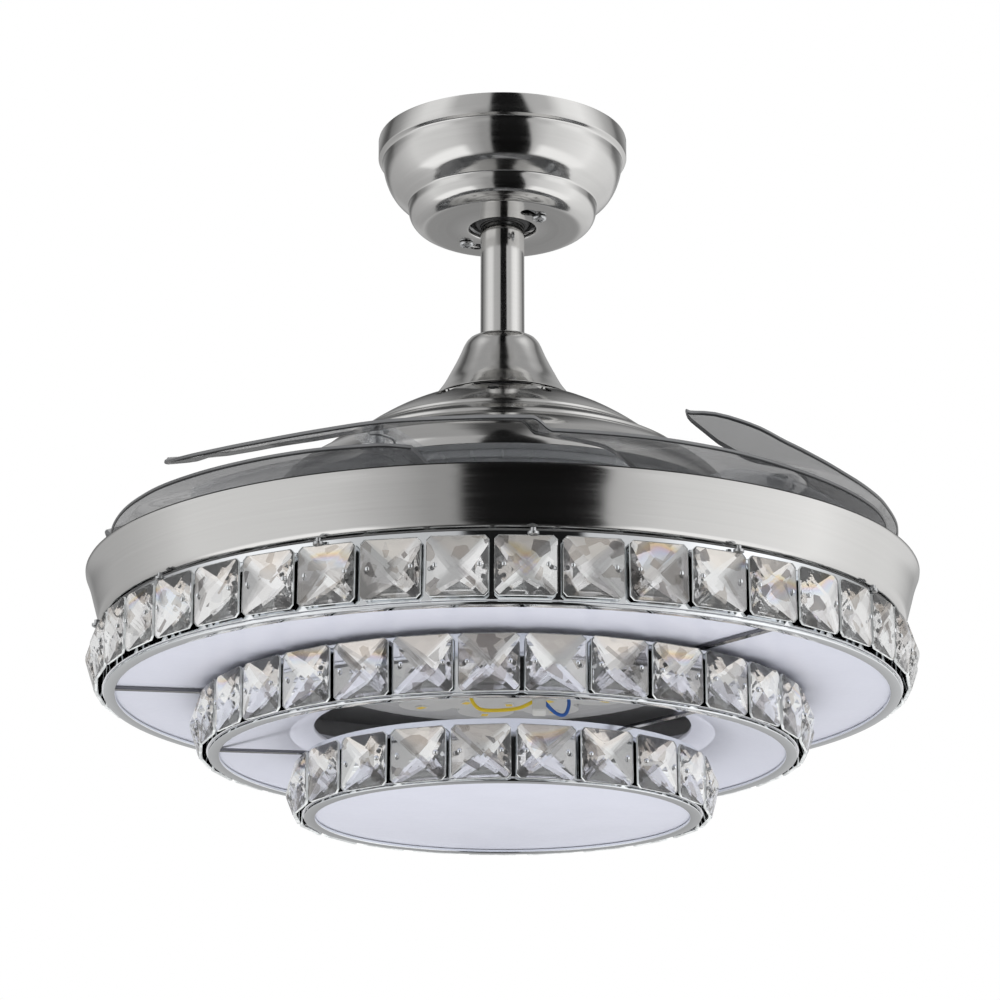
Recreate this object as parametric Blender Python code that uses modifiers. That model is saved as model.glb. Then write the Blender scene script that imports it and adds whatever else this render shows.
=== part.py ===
"""Retractable-blade ceiling fan with a three-tier crystal light, hung on a short downrod.

The origin is the middle of the ceiling face of the hanger bracket, +Z is up, and the
front of the fan looks along -Y.  Every length is in metres.
"""
import math

import bmesh
import bpy
from mathutils import Matrix, Vector

# Clearances and stock
CLEAR = 0.0003          # between two pieces that touch
RUN_GAP = 0.0035        # between a turning cover and the fixed piece above it
SHEET = 0.0012          # pressed steel
OVERRUN = 0.004         # how far a cutter stands out of what it cuts
EMBED = 0.0005          # how deep a joined form is set into its carrier

# Canopy and hanger
CANOPY_R = 0.0764
CANOPY_H = 0.058
CANOPY_HOLE_R = 0.0205
STRAP_HALF = 0.040
STRAP_W = 0.050
STRAP_T = 0.0025
STRAP_BEND_R = 0.005
STRAP_H = 0.0515
STRAP_TURN = math.radians(-44.0)
CEILING_HOLE_PLACE = 0.030
CEILING_HOLE_R = 0.0026
BALL_R = 0.022
BALL_TOP = 0.012
BALL_BOTTOM = 0.016
BALL_DROP = 0.040
SEAT_RING_R = 0.024
SEAT_RING_TOP = math.radians(-12.0)
SEAT_RING_BASE = math.radians(-38.0)
HANGER_PIN_R = 0.0025
SCREW_PLACE = 0.031
SCREW_SHANK_R = 0.0018
SCREW_HEAD_R = 0.0044
SCREW_HEAD_H = 0.0026
SCREW_REACH = 0.0135
KEY_HOLE_R = 0.0048
KEY_SLOT_W = 0.0046
KEY_LENGTH = 0.0095

# Downrod, coupling and yoke
ROD_R = 0.01335
ROD_WALL = 0.002
ROD_SHOWN = 0.071
ROD_IN_BALL = 0.010
COVER_H = 0.0405
COVER_R = 0.0428
YOKE_WALL = 0.0035
YOKE_TOP_IN = 0.013
ROD_IN_YOKE = 0.0192
YOKE_FLANGE_R = 0.024
YOKE_FLANGE_T = 0.004
YOKE_HUB_R = 0.013
YOKE_HUB_H = 0.0105
COUPLING_BOLT_R = 0.003
COUPLING_BOLT_HALF = 0.0195
COUPLING_BOLT_IN = 0.010

# Motor
SHAFT_R = 0.008
SHAFT_WALL = 0.0025
BEARING_R = 0.016
BEARING_H = 0.008
ROTOR_R = 0.068
ROTOR_WALL = 0.0027
ROTOR_HALF = 0.0278
ROTOR_SHOULDER = 0.007
ROTOR_HUB_WALL = 0.0047
ROTOR_FLANGE_R = 0.080
ROTOR_FLANGE_T = 0.0027
ROTOR_DROP = 0.014
STATOR_R = 0.052
STATOR_H = 0.021
STATOR_SLOTS = 12
STATOR_SLOT_W = 0.004
SLOT_PHASE = 0.25
WINDING_R = 0.046
WINDING_IN_R = 0.026
WINDING_H = 0.004

# Upper housing that turns with the blades
DOME_R = 0.138
DOME_H = 0.0652
DOME_HOLE_R = 0.033
VENTS = 14
VENT_PLACE = 0.0655
VENT_L = 0.0115
VENT_W = 0.005
VENT_PHASE = 0.325
CARRIER_T = 0.003
PIVOT_PLACE_SHARE = 0.71667
LOBE_R = 0.0125
PIN_R = 0.0037
PIN_HEAD_R = 0.0065
PIN_HEAD_H = 0.0022
PIN_END_R = 0.006
PIN_END_H = 0.0015

# Blades, measured from the fan's axis
BLADES = 4
BLADE_OUTER_R = 0.240
BLADE_ARC = math.radians(140.0)
PIVOT_FROM_TIP = math.radians(129.1)
FIRST_TIP = math.radians(-152.6)
BLADE_T = 0.0032
BLADE_DROP = 0.0205
LAYER_STEP = 0.007
TIP_RISE = 0.0158
BOSS_R = 0.007
ARM_T = 0.003
ARM_INSET = 0.005
ARM_RIB_W = 0.0024
ARM_RIB_H = 0.003
SPRING_WIRE_R = 0.0007
SPRING_R = 0.0095
SPRING_TURNS = 3
SPRING_POINTS = 8

# Band, pan and chassis of the light
BLADE_BAY = 0.0438
BAND_R = 0.245
BAND_LEAN = 0.0084
BAND_H = 0.0337
BAND_LIP = 0.012
BAND_TOP_LIP = 0.009
PAN_INSET = 0.011
PAN_FOOT_INSET = 0.0126
PAN_FOOT_H = 0.0095
PAN_FLANGE_W = 0.012
NUT_R = 0.013
NUT_H = 0.007
CHASSIS_DROP = 0.0405
CHASSIS_DEPTH = 0.0185
DISH_HOLE_R = 0.012
POSTS = 3
POST_R = 0.003
POST_TURN = math.radians(90.0)
DRIVER_SIZE = (0.110, 0.050, 0.024)
RECEIVER_SIZE = (0.085, 0.040, 0.022)

# Crystal tiers: drop, crystals, turn of the first joint
TIER_INSET = 0.0046
TIER_DROP = (0.039, 0.0337, 0.0347)
TIER_CRYSTALS = (42, 31, 21)
TIER_TURN = (math.radians(-91.4), math.radians(-86.6), math.radians(-87.1))
SPOKE_TURNS = (math.radians(-171.0), math.radians(-51.0), math.radians(69.0))
SPOKE_W = 0.005
SPOKE_INSET = 0.0002
RIM_W = 0.0065
RIM_T = 0.002
WALL_T = 0.0015
CRYSTAL_GAP = 0.0014
CRYSTAL_H = 0.0315
CRYSTAL_BASE = 0.0035
CRYSTAL_DEPTH = 0.0105
CRYSTAL_TABLE = 0.008
CRYSTAL_FOOT = 0.0005
DIFFUSER_T = 0.002
DISHED_RISE = 0.0165

# Light boards and leads
BOARD_T = 0.0016
BOARD_2_LOBES = 12
BOARD_2_LOBE_DEPTH = 0.009
BOARD_2_LOBE_POINTS = 4
LEAD_R = 0.0011
LEAD_DROP = 0.0035
YELLOW_LEAD = ((-0.016, 0.004), (-0.0165, -0.003), (-0.012, -0.009), (-0.003, -0.0115),
               (0.007, -0.0095), (0.0135, -0.0045), (0.0165, -0.0035), (0.0197, -0.0035))
BLUE_LEAD = ((0.0283, -0.0035), (0.0315, -0.0035), (0.0365, -0.001), (0.039, 0.004), (0.0385, 0.010))
CONNECTOR_SIZE = (0.008, 0.014, 0.006)
CONNECTOR_PLACE = (0.024, -0.0035)

# Shares of the band's radius that the light's pieces follow
LOWER_RIM_SHARES = (0.69796, 0.46939)
FLANGE_IN_SHARES = (0.86531, 0.61224, 0.08163)
SPOKE_IN_SHARES = (0.65306, 0.39592)
DIFFUSER_IN_SHARE = 0.62041
DISHED_IN_SHARE = 0.44898
CHASSIS_SHARE = 0.86531
DISH_SHARES = (0.47347, 0.44082)
POST_SHARE = 0.73469
DRIVER_SHARE = 0.34694
RECEIVER_SHARE = 0.61224
BOARD_1_SHARES = (0.83673, 0.51020)
BOARD_2_SHARE = 0.33061
BOARD_3_SHARE = 0.38776

# Places across that follow other sizes
PIVOT_PLACE = BLADE_OUTER_R * PIVOT_PLACE_SHARE
BAND_FOOT_R = BAND_R - BAND_LEAN
PAN_R = BAND_R - PAN_INSET
PAN_FOOT_R = BAND_FOOT_R - PAN_FOOT_INSET
TIER_RIM_R = (BAND_FOOT_R - TIER_INSET, *(share * BAND_R for share in LOWER_RIM_SHARES))
FLANGE_IN_R = tuple(share * BAND_R for share in FLANGE_IN_SHARES)
TIER_SPOKE_IN = tuple(share * BAND_R for share in SPOKE_IN_SHARES)
DIFFUSER_IN_R = DIFFUSER_IN_SHARE * BAND_R
DISHED_IN_R = DISHED_IN_SHARE * BAND_R
CHASSIS_R = CHASSIS_SHARE * BAND_R
DISH_R, DISH_FLOOR_R = (share * BAND_R for share in DISH_SHARES)
POST_PLACE = POST_SHARE * BAND_R
DRIVER_PLACE = DRIVER_SHARE * BAND_R
RECEIVER_PLACE = -RECEIVER_SHARE * BAND_R
BOARD_1_R, BOARD_1_IN_R = (share * BAND_R for share in BOARD_1_SHARES)
BOARD_2_R = BOARD_2_SHARE * BAND_R
BOARD_3_R = BOARD_3_SHARE * BAND_R

# Levels, from the ceiling down
BALL_Z = -BALL_DROP
CANOPY_FLOOR_Z = -CANOPY_H
COVER_TOP_Z = CANOPY_FLOOR_Z - ROD_SHOWN
COVER_BASE_Z = COVER_TOP_Z - COVER_H
DOME_TOP_Z = COVER_BASE_Z - RUN_GAP
DOME_RIM_Z = DOME_TOP_Z - DOME_H
CARRIER_TOP_Z = DOME_RIM_Z - CLEAR
CARRIER_BASE_Z = CARRIER_TOP_Z - CARRIER_T
BLADE_ROOT_Z = CARRIER_BASE_Z - BLADE_DROP
BAND_TOP_Z = DOME_RIM_Z - BLADE_BAY
BAND_BASE_Z = BAND_TOP_Z - BAND_H
PAN_TOP_Z = BAND_TOP_Z - SHEET - CLEAR
PAN_BASE_Z = PAN_TOP_Z - SHEET
CHASSIS_Z = PAN_TOP_Z - CHASSIS_DROP
CHASSIS_FLOOR_Z = CHASSIS_Z - CHASSIS_DEPTH
YOKE_TOP_Z = COVER_TOP_Z - YOKE_TOP_IN
ROD_BASE_Z = YOKE_TOP_Z - ROD_IN_YOKE
YOKE_FLANGE_Z = COVER_BASE_Z - CLEAR
YOKE_BASE_Z = YOKE_FLANGE_Z - YOKE_FLANGE_T - YOKE_HUB_H
SHAFT_TOP_Z = ROD_BASE_Z - SHEET
ROTOR_TOP_Z = DOME_TOP_Z - ROTOR_DROP
ROTOR_SPLIT_Z = ROTOR_TOP_Z - ROTOR_HALF
ROTOR_BASE_Z = ROTOR_SPLIT_Z - ROTOR_HALF
STATOR_Z = ROTOR_SPLIT_Z + STATOR_H / 2
NUT_TOP_Z = PAN_BASE_Z - CLEAR
BOARD_2_Z = CHASSIS_FLOOR_Z - SHEET - CLEAR

# Outlines as shares of the sizes they follow: across, then down
CANOPY_PROFILE_SHARES = (
    (1.0, 0.0), (1.0, 0.24), (0.965, 0.270), (0.941, 0.421), (0.868, 0.610), (0.764, 0.733),
    (0.753, 0.819), (0.704, 0.938), (0.610, 1.0))
COVER_PROFILE_SHARES = (
    (0.430, 0.0), (0.502, 0.055), (0.552, 0.136), (0.605, 0.284), (0.755, 0.602), (1.0, 1.0))
DOME_PROFILE_SHARES = (
    (0.330, 0.002), (0.399, 0.040), (0.517, 0.166), (0.643, 0.350), (0.658, 0.393), (0.786, 0.531),
    (0.800, 0.577), (0.981, 0.868), (1.0, 0.966), (1.0, 1.0))
BLADE_STATION_SHARES = (
    (0.0, 0.900, 0.886), (0.011, 0.935, 0.855), (0.029, 0.957, 0.844), (0.057, 0.968, 0.838),
    (0.100, 0.974, 0.833), (0.157, 0.977, 0.825), (0.214, 0.979, 0.812), (0.271, 0.984, 0.790),
    (0.329, 0.992, 0.760), (0.400, 1.0, 0.714), (0.474, 1.0, 0.659), (0.494, 0.979, 0.647),
    (0.600, 0.979, 0.625), (0.660, 0.970, 0.619), (0.730, 0.952, 0.615), (0.800, 0.945, 0.613),
    (0.900, 0.937, 0.613), (0.971, 0.904, 0.625), (1.0, 0.862, 0.658))
BLADE_PITCH_SHARES = (
    (0.0, 0.09), (0.057, 0.12), (0.100, 0.165), (0.214, 0.19), (0.271, 0.215), (0.329, 0.265),
    (0.400, 0.285), (0.540, 0.285), (0.600, 0.235), (0.660, 0.120), (0.730, 0.020), (0.760, 0.0), (1.0, 0.0))
TIP_BEND_SHARE = 0.214
TIP_BEND_POWER = 2.5
JOGGLE_SHARES = (0.474, 0.494)
ARM_FROM_SHARE = 0.70
ARM_TO_SHARE = 0.985
RIB_PLACE_SHARES = (0.16, 0.5, 0.84)

# Facets of the turned pieces
LARGE_STEPS = 32
CANOPY_STEPS = 24
MEDIUM_STEPS = 20
ROD_STEPS = 16
SMALL_STEPS = 10
SMOOTH_ANGLE = math.radians(32.0)

NICKEL = ("brushed nickel", (0.60, 0.59, 0.57), 0.30, 1.0)
CHROME = ("chrome", (0.80, 0.81, 0.83), 0.07, 1.0)
STEEL = ("zinc plated steel", (0.52, 0.53, 0.54), 0.42, 1.0)
WHITE_STEEL = ("white painted steel", (0.78, 0.78, 0.79), 0.45, 0.0)
CAST_ALLOY = ("cast aluminium", (0.56, 0.57, 0.58), 0.5, 1.0)
BLACK_RUBBER = ("black rubber", (0.015, 0.015, 0.016), 0.8, 0.0)
BLACK_PLASTIC = ("black plastic", (0.02, 0.02, 0.022), 0.5, 0.0)
WHITE_PLASTIC = ("white plastic", (0.82, 0.82, 0.80), 0.4, 0.0)
COPPER = ("enamelled copper", (0.62, 0.26, 0.12), 0.35, 1.0)
LAMINATION = ("stator laminations", (0.25, 0.25, 0.27), 0.5, 1.0)
SMOKE_ACRYLIC = ("smoke acrylic", (0.30, 0.31, 0.32), 0.08, 0.0)
CLEAR_PLASTIC = ("clear polycarbonate", (0.85, 0.87, 0.88), 0.08, 0.0)
CRYSTAL_GLASS = ("crystal glass", (0.93, 0.95, 0.96), 0.02, 0.0)
OPAL_ACRYLIC = ("opal acrylic", (0.76, 0.77, 0.83), 0.5, 0.0)
BOARD_WHITE = ("light board white", (0.84, 0.84, 0.82), 0.5, 0.0)
YELLOW_WIRE = ("yellow wire", (0.82, 0.62, 0.06), 0.45, 0.0)
BLUE_WIRE = ("blue wire", (0.05, 0.13, 0.42), 0.45, 0.0)


def clear_scene():
    for old in list(bpy.data.objects):
        bpy.data.objects.remove(old)


def collection(name):
    made = bpy.data.collections.new(name)
    bpy.context.scene.collection.children.link(made)
    return made


def material(finish):
    name, color, rough, metal = finish
    made = bpy.data.materials.get(name)
    if made:
        return made
    made = bpy.data.materials.new(name)
    made.use_nodes = True
    shader = made.node_tree.nodes["Principled BSDF"]
    shader.inputs["Base Color"].default_value = (*color, 1.0)
    shader.inputs["Roughness"].default_value = rough
    shader.inputs["Metallic"].default_value = metal
    return made


def add(name, data, where, finish=None):
    made = bpy.data.objects.new(name, data)
    where.objects.link(made)
    if finish:
        data.materials.append(material(finish))
    return made


def hide_guide(guide):
    guide.hide_render = True
    guide.display_type = "WIRE"
    return guide


def mesh_of(name, bm):
    mesh = bpy.data.meshes.new(name)
    bm.to_mesh(mesh)
    bm.free()
    return mesh


def evaluated_mesh(piece):
    bpy.context.view_layer.update()
    graph = bpy.context.evaluated_depsgraph_get()
    return bpy.data.meshes.new_from_object(piece.evaluated_get(graph))


def settle(piece):
    """Put what the modifiers made into the mesh, shaded smooth where it is round."""
    mesh = evaluated_mesh(piece)
    piece.modifiers.clear()
    piece.data = mesh
    mesh.shade_smooth()
    mesh.set_sharp_from_angle(angle=SMOOTH_ANGLE)
    return piece


def screw(piece, steps):
    turn = piece.modifiers.new("turn", "SCREW")
    turn.angle = math.tau
    turn.steps = steps
    turn.render_steps = steps
    turn.use_merge_vertices = True
    turn.merge_threshold = CLEAR / 10
    return turn


def profile_mesh(name, points, closed):
    mesh = bpy.data.meshes.new(name)
    edges = [(i, i + 1) for i in range(len(points) - 1)]
    if closed:
        edges.append((len(points) - 1, 0))
    mesh.from_pydata([(r, 0.0, z) for r, z in points], edges, [])
    return mesh


def turned(name, points, steps, finish, where, closed=True):
    """Turn a profile about Z: a closed loop for a ring, an open line that ends on the axis for a disc."""
    piece = add(name, profile_mesh(name, points, closed), where, finish)
    screw(piece, steps)
    return piece


def turned_shell(name, points, steps, wall, finish, where):
    piece = turned(name, points, steps, finish, where, closed=False)
    skin = piece.modifiers.new("wall", "SOLIDIFY")
    skin.thickness = wall
    skin.offset = -1.0
    skin.use_even_offset = True
    return piece


def ring(name, outer, inner, top, base, steps, finish, where):
    points = ((outer, top), (outer, base), (inner, base), (inner, top))
    return turned(name, points, steps, finish, where)


def disc(name, radius, top, base, steps, finish, where):
    points = ((0.0, top), (radius, top), (radius, base), (0.0, base))
    return turned(name, points, steps, finish, where, closed=False)


def cylinder(name, radius, height, matrix, where, steps=SMALL_STEPS, finish=None):
    bm = bmesh.new()
    bmesh.ops.create_cone(bm, cap_ends=True, segments=steps, radius1=radius, radius2=radius, depth=height)
    bmesh.ops.transform(bm, matrix=matrix, verts=bm.verts)
    return add(name, mesh_of(name, bm), where, finish)


def box(name, size, matrix, where, finish=None):
    bm = bmesh.new()
    bmesh.ops.create_cube(bm, size=1.0)
    bmesh.ops.scale(bm, vec=Vector(size), verts=bm.verts)
    bmesh.ops.transform(bm, matrix=matrix, verts=bm.verts)
    return add(name, mesh_of(name, bm), where, finish)


def boolean(piece, tool, operation):
    change = piece.modifiers.new(operation.lower(), "BOOLEAN")
    change.operation = operation
    change.solver = "EXACT"
    change.object = hide_guide(tool)


def cut(piece, tool):
    boolean(piece, tool, "DIFFERENCE")


def join(piece, tool):
    boolean(piece, tool, "UNION")


def bevel_edges(piece, width, segments=1):
    edge = piece.modifiers.new("edge", "BEVEL")
    edge.width = width
    edge.segments = segments
    edge.limit_method = "ANGLE"
    return edge


def around(angle, radius=0.0, z=0.0):
    """A place at a radius and an angle about the fan's axis, turned to face outwards."""
    turn = Matrix.Rotation(angle, 4, "Z")
    return turn @ Matrix.Translation((radius, 0.0, z))


def at(x, y, z):
    return Matrix.Translation((x, y, z))


def lying_along_x(matrix):
    return matrix @ Matrix.Rotation(math.pi / 2, 4, "Y")


def curve_to_mesh(guide, name, finish, where):
    mesh = evaluated_mesh(guide)
    bm = bmesh.new()
    bm.from_mesh(mesh)
    bmesh.ops.remove_doubles(bm, verts=bm.verts, dist=CLEAR / 10)
    bmesh.ops.recalc_face_normals(bm, faces=bm.faces)
    bm.to_mesh(mesh)
    bm.free()
    mesh.materials.clear()
    piece = add(name, mesh, where, finish)
    piece.matrix_world = guide.matrix_world.copy()
    bpy.data.objects.remove(guide)
    return piece


def poly_spline(curve, points, cyclic):
    spline = curve.splines.new("POLY")
    spline.points.add(len(points) - 1)
    for knot, place in zip(spline.points, points):
        knot.co = (*place, 1.0)
    spline.use_cyclic_u = cyclic


def flat_plate(name, outlines, thickness, middle, finish, where):
    """A plate cut to flat outlines: the first is its edge and the others are holes."""
    curve = bpy.data.curves.new(name, "CURVE")
    curve.dimensions = "2D"
    curve.fill_mode = "BOTH"
    curve.extrude = thickness / 2
    for outline in outlines:
        poly_spline(curve, [(x, y, 0.0) for x, y in outline], True)
    guide = add(name + "_outline", curve, where)
    guide.matrix_world = middle
    return curve_to_mesh(guide, name, finish, where)


def tube(name, points, radius, finish, where, sides=1):
    curve = bpy.data.curves.new(name, "CURVE")
    curve.dimensions = "3D"
    curve.bevel_depth = radius
    curve.bevel_resolution = sides
    curve.use_fill_caps = True
    poly_spline(curve, points, False)
    return curve_to_mesh(add(name + "_route", curve, where), name, finish, where)


def arc_points(centre, radius, start, stop, count):
    x, y = centre
    angles = [start + (stop - start) * i / (count - 1) for i in range(count)]
    return [(x + radius * math.cos(a), y + radius * math.sin(a)) for a in angles]


def circle_points(centre, radius, count):
    return arc_points(centre, radius, 0.0, math.tau * (count - 1) / count, count)


def scaled_profile(shares, across, down, top):
    return [(r * across, top - z * down) for r, z in shares]


def smooth_step(value, start, stop):
    share = min(max((value - start) / (stop - start), 0.0), 1.0)
    return share * share * (3.0 - 2.0 * share)


# Ceiling pieces

def strap_outline():
    """The side view of the bent strap: a rounded rectangle with a smaller one inside."""
    outlines = []
    for inset in (0.0, STRAP_T):
        half, bend = STRAP_HALF - inset, STRAP_BEND_R - inset
        top, base = -inset, -STRAP_H + inset
        corners = ((half - bend, top - bend), (-half + bend, top - bend),
                   (-half + bend, base + bend), (half - bend, base + bend))
        points = []
        for i, corner in enumerate(corners):
            start = i * math.pi / 2
            points += arc_points(corner, bend, start, start + math.pi / 2, 3)
        outlines.append(points)
    return outlines


def make_hanger_bracket(parts, cutters):
    stand = Matrix.Rotation(STRAP_TURN, 4, "Z") @ Matrix.Rotation(math.pi / 2, 4, "X")
    strap = flat_plate("hanger_bracket", strap_outline(), STRAP_W, stand, STEEL, parts)
    floor_z = -STRAP_H + STRAP_T
    clear_r = math.sqrt(SEAT_RING_R ** 2 - (BALL_Z - floor_z) ** 2) + CLEAR
    seat_r = clear_r / math.cos(math.pi / MEDIUM_STEPS)
    depth = STRAP_T + OVERRUN * 2
    cut(strap, cylinder("ball_seat_cut", seat_r, depth, at(0, 0, floor_z), cutters, MEDIUM_STEPS))
    for side in (0, 1):
        place = around(STRAP_TURN + side * math.pi, SCREW_PLACE, floor_z)
        hole = cylinder(f"strap_hole_cut_{side}", SCREW_SHANK_R + CLEAR, depth, place, cutters)
        cut(strap, hole)
        place = around(STRAP_TURN + side * math.pi, CEILING_HOLE_PLACE, -STRAP_T / 2)
        cut(strap, cylinder(f"ceiling_hole_cut_{side}", CEILING_HOLE_R, depth, place, cutters, ROD_STEPS))
    return settle(strap)


def make_canopy(parts, cutters):
    points = scaled_profile(CANOPY_PROFILE_SHARES, CANOPY_R, CANOPY_H, 0.0)
    points.append((CANOPY_HOLE_R, CANOPY_FLOOR_Z))
    shell = turned_shell("canopy", points, CANOPY_STEPS, SHEET, NICKEL, parts)
    depth = SHEET + OVERRUN
    for side in (0, 1):
        turn = STRAP_TURN + side * math.pi
        screw_place = around(turn, SCREW_PLACE, CANOPY_FLOOR_Z)
        key_place = screw_place @ at(0, -KEY_LENGTH, 0)
        slot_place = screw_place @ at(0, -KEY_LENGTH / 2, 0)
        slot_end_r = KEY_SLOT_W / 2
        cut(shell, cylinder(f"key_round_cut_{side}", KEY_HOLE_R, depth, key_place, cutters))
        cut(shell, cylinder(f"key_end_cut_{side}", slot_end_r, depth * 2, screw_place, cutters))
        size = (KEY_SLOT_W * math.cos(math.pi / SMALL_STEPS), KEY_LENGTH, depth + OVERRUN)
        cut(shell, box(f"key_slot_cut_{side}", size, slot_place, cutters))
    return settle(shell)


def make_canopy_screws(parts):
    under = CANOPY_FLOOR_Z - CLEAR
    low = under - SCREW_HEAD_H
    tip = under + SCREW_REACH
    points = ((0.0, tip), (SCREW_SHANK_R, tip), (SCREW_SHANK_R, under), (SCREW_HEAD_R, under),
              (SCREW_HEAD_R, low + SCREW_HEAD_H / 3), (SCREW_HEAD_R * 3 / 4, low), (0.0, low))
    for side in (0, 1):
        bolt = turned(f"canopy_screw_{side + 1}", points, SMALL_STEPS, STEEL, parts, closed=False)
        settle(bolt)
        bolt.matrix_world = around(STRAP_TURN + side * math.pi, SCREW_PLACE)


def make_hanger_ball(parts, cutters):
    high = math.asin(BALL_TOP / BALL_R)
    low = -math.asin(BALL_BOTTOM / BALL_R)
    arc = arc_points((0.0, 0.0), BALL_R, high, low, 6)
    bore = ROD_R + CLEAR
    points = arc + [(bore, -BALL_BOTTOM), (bore, BALL_TOP)]
    ball = turned("hanger_ball", points, ROD_STEPS, BLACK_PLASTIC, parts)
    hole = cylinder("ball_pin_cut", HANGER_PIN_R + CLEAR, BALL_R * 3, lying_along_x(at(0, 0, 0)), cutters)
    hole.location.z = BALL_Z
    ball.location.z = BALL_Z
    cut(ball, hole)
    return settle(ball)


def make_ball_seat_ring(parts):
    """The ring the ball turns in: its outer sphere sits on the edge of the bracket's hole."""
    inner_r = (BALL_R + CLEAR) / math.cos(math.pi / MEDIUM_STEPS)
    outer = arc_points((0.0, 0.0), SEAT_RING_R, SEAT_RING_TOP, SEAT_RING_BASE, 4)
    inner = arc_points((0.0, 0.0), inner_r, SEAT_RING_BASE, SEAT_RING_TOP, 4)
    seat = turned("ball_seat_ring", outer + inner, MEDIUM_STEPS, BLACK_RUBBER, parts)
    seat.location.z = BALL_Z
    return settle(seat)


def make_hanger_pin(parts):
    length = 2 * (BALL_R - OVERRUN)
    pin = cylinder("hanger_pin", HANGER_PIN_R, length, lying_along_x(Matrix()), parts, finish=STEEL)
    pin.location.z = BALL_Z
    return settle(pin)


# Downrod and coupling

def make_downrod(parts, cutters):
    top = BALL_Z + ROD_IN_BALL
    rod = ring("downrod", ROD_R, ROD_R - ROD_WALL, top, ROD_BASE_Z, ROD_STEPS, NICKEL, parts)
    reach = ROD_R * 3
    for name, radius, z in (("rod_top_cut", HANGER_PIN_R, BALL_Z),
                            ("rod_base_cut", COUPLING_BOLT_R, YOKE_TOP_Z - COUPLING_BOLT_IN)):
        hole = cylinder(name, radius + CLEAR, reach, lying_along_x(at(0, 0, z)), cutters)
        cut(rod, hole)
    return settle(rod)


def make_coupling_cover(parts):
    points = scaled_profile(COVER_PROFILE_SHARES, COVER_R, COVER_H, COVER_TOP_Z)
    points.insert(0, (ROD_R + CLEAR, COVER_TOP_Z))
    return settle(turned_shell("coupling_cover", points, ROD_STEPS, SHEET, NICKEL, parts))


def make_motor_yoke(parts, cutters):
    socket = ROD_R + CLEAR
    bore = SHAFT_R + CLEAR
    shoulder = ROD_BASE_Z - CLEAR
    outer = socket + YOKE_WALL
    under = YOKE_FLANGE_Z - YOKE_FLANGE_T
    points = ((outer, YOKE_TOP_Z), (outer, YOKE_FLANGE_Z), (YOKE_FLANGE_R, YOKE_FLANGE_Z),
              (YOKE_FLANGE_R, under), (YOKE_HUB_R, under), (YOKE_HUB_R, YOKE_BASE_Z),
              (bore, YOKE_BASE_Z), (bore, shoulder), (socket, shoulder), (socket, YOKE_TOP_Z))
    yoke = turned("motor_yoke", points, ROD_STEPS, CAST_ALLOY, parts)
    place = lying_along_x(at(0, 0, YOKE_TOP_Z - COUPLING_BOLT_IN))
    cut(yoke, cylinder("yoke_bolt_cut", COUPLING_BOLT_R + CLEAR, outer * 3, place, cutters))
    return settle(yoke)


def make_coupling_bolt(parts):
    place = lying_along_x(at(0, 0, YOKE_TOP_Z - COUPLING_BOLT_IN))
    length = 2 * COUPLING_BOLT_HALF
    return settle(cylinder("coupling_bolt", COUPLING_BOLT_R, length, place, parts, finish=STEEL))


# Motor

def make_motor_shaft(parts):
    base = NUT_TOP_Z - NUT_H - SHEET
    return settle(ring("motor_shaft", SHAFT_R, SHAFT_R - SHAFT_WALL, SHAFT_TOP_Z, base,
                       ROD_STEPS, STEEL, parts))


def make_bearings(parts):
    outer, inner = BEARING_R, SHAFT_R + CLEAR
    top = ROTOR_TOP_Z - ROTOR_WALL
    ring("upper_bearing", outer, inner, top, top - BEARING_H, ROD_STEPS, STEEL, parts)
    base = ROTOR_BASE_Z + ROTOR_WALL
    ring("lower_bearing", outer, inner, base + BEARING_H, base, ROD_STEPS, STEEL, parts)
    for name in ("upper_bearing", "lower_bearing"):
        settle(bpy.data.objects[name])


def make_rotor_top(parts):
    seat = BEARING_R + CLEAR
    hub = seat + ROTOR_HUB_WALL
    shoulder = ROTOR_TOP_Z - ROTOR_SHOULDER
    inner = ROTOR_R - ROTOR_WALL
    under = ROTOR_TOP_Z - ROTOR_WALL
    hub_base = under - BEARING_H
    split = ROTOR_SPLIT_Z + CLEAR / 2
    points = ((seat, ROTOR_TOP_Z), (ROTOR_R - ROTOR_SHOULDER, ROTOR_TOP_Z), (ROTOR_R, shoulder),
              (ROTOR_R, split), (inner, split), (inner, shoulder - ROTOR_WALL / 2),
              (inner - ROTOR_SHOULDER, under), (hub, under), (hub, hub_base), (seat, hub_base))
    return settle(turned("rotor_top", points, ROD_STEPS, CAST_ALLOY, parts))


def make_rotor_base(parts):
    seat = BEARING_R + CLEAR
    hub = seat + ROTOR_HUB_WALL
    inner = ROTOR_R - ROTOR_WALL
    over = ROTOR_BASE_Z + ROTOR_WALL
    hub_top = over + BEARING_H
    split = ROTOR_SPLIT_Z - CLEAR / 2
    flange_top = DOME_RIM_Z + ROTOR_FLANGE_T
    points = ((ROTOR_R, split), (ROTOR_R, flange_top), (ROTOR_FLANGE_R, flange_top),
              (ROTOR_FLANGE_R, DOME_RIM_Z), (ROTOR_R, DOME_RIM_Z),
              (ROTOR_R - ROTOR_SHOULDER, ROTOR_BASE_Z), (seat, ROTOR_BASE_Z), (seat, hub_top),
              (hub, hub_top), (hub, over), (inner - ROTOR_SHOULDER, over),
              (inner, over + ROTOR_SHOULDER), (inner, split))
    return settle(turned("rotor_base", points, ROD_STEPS, CAST_ALLOY, parts))


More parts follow.
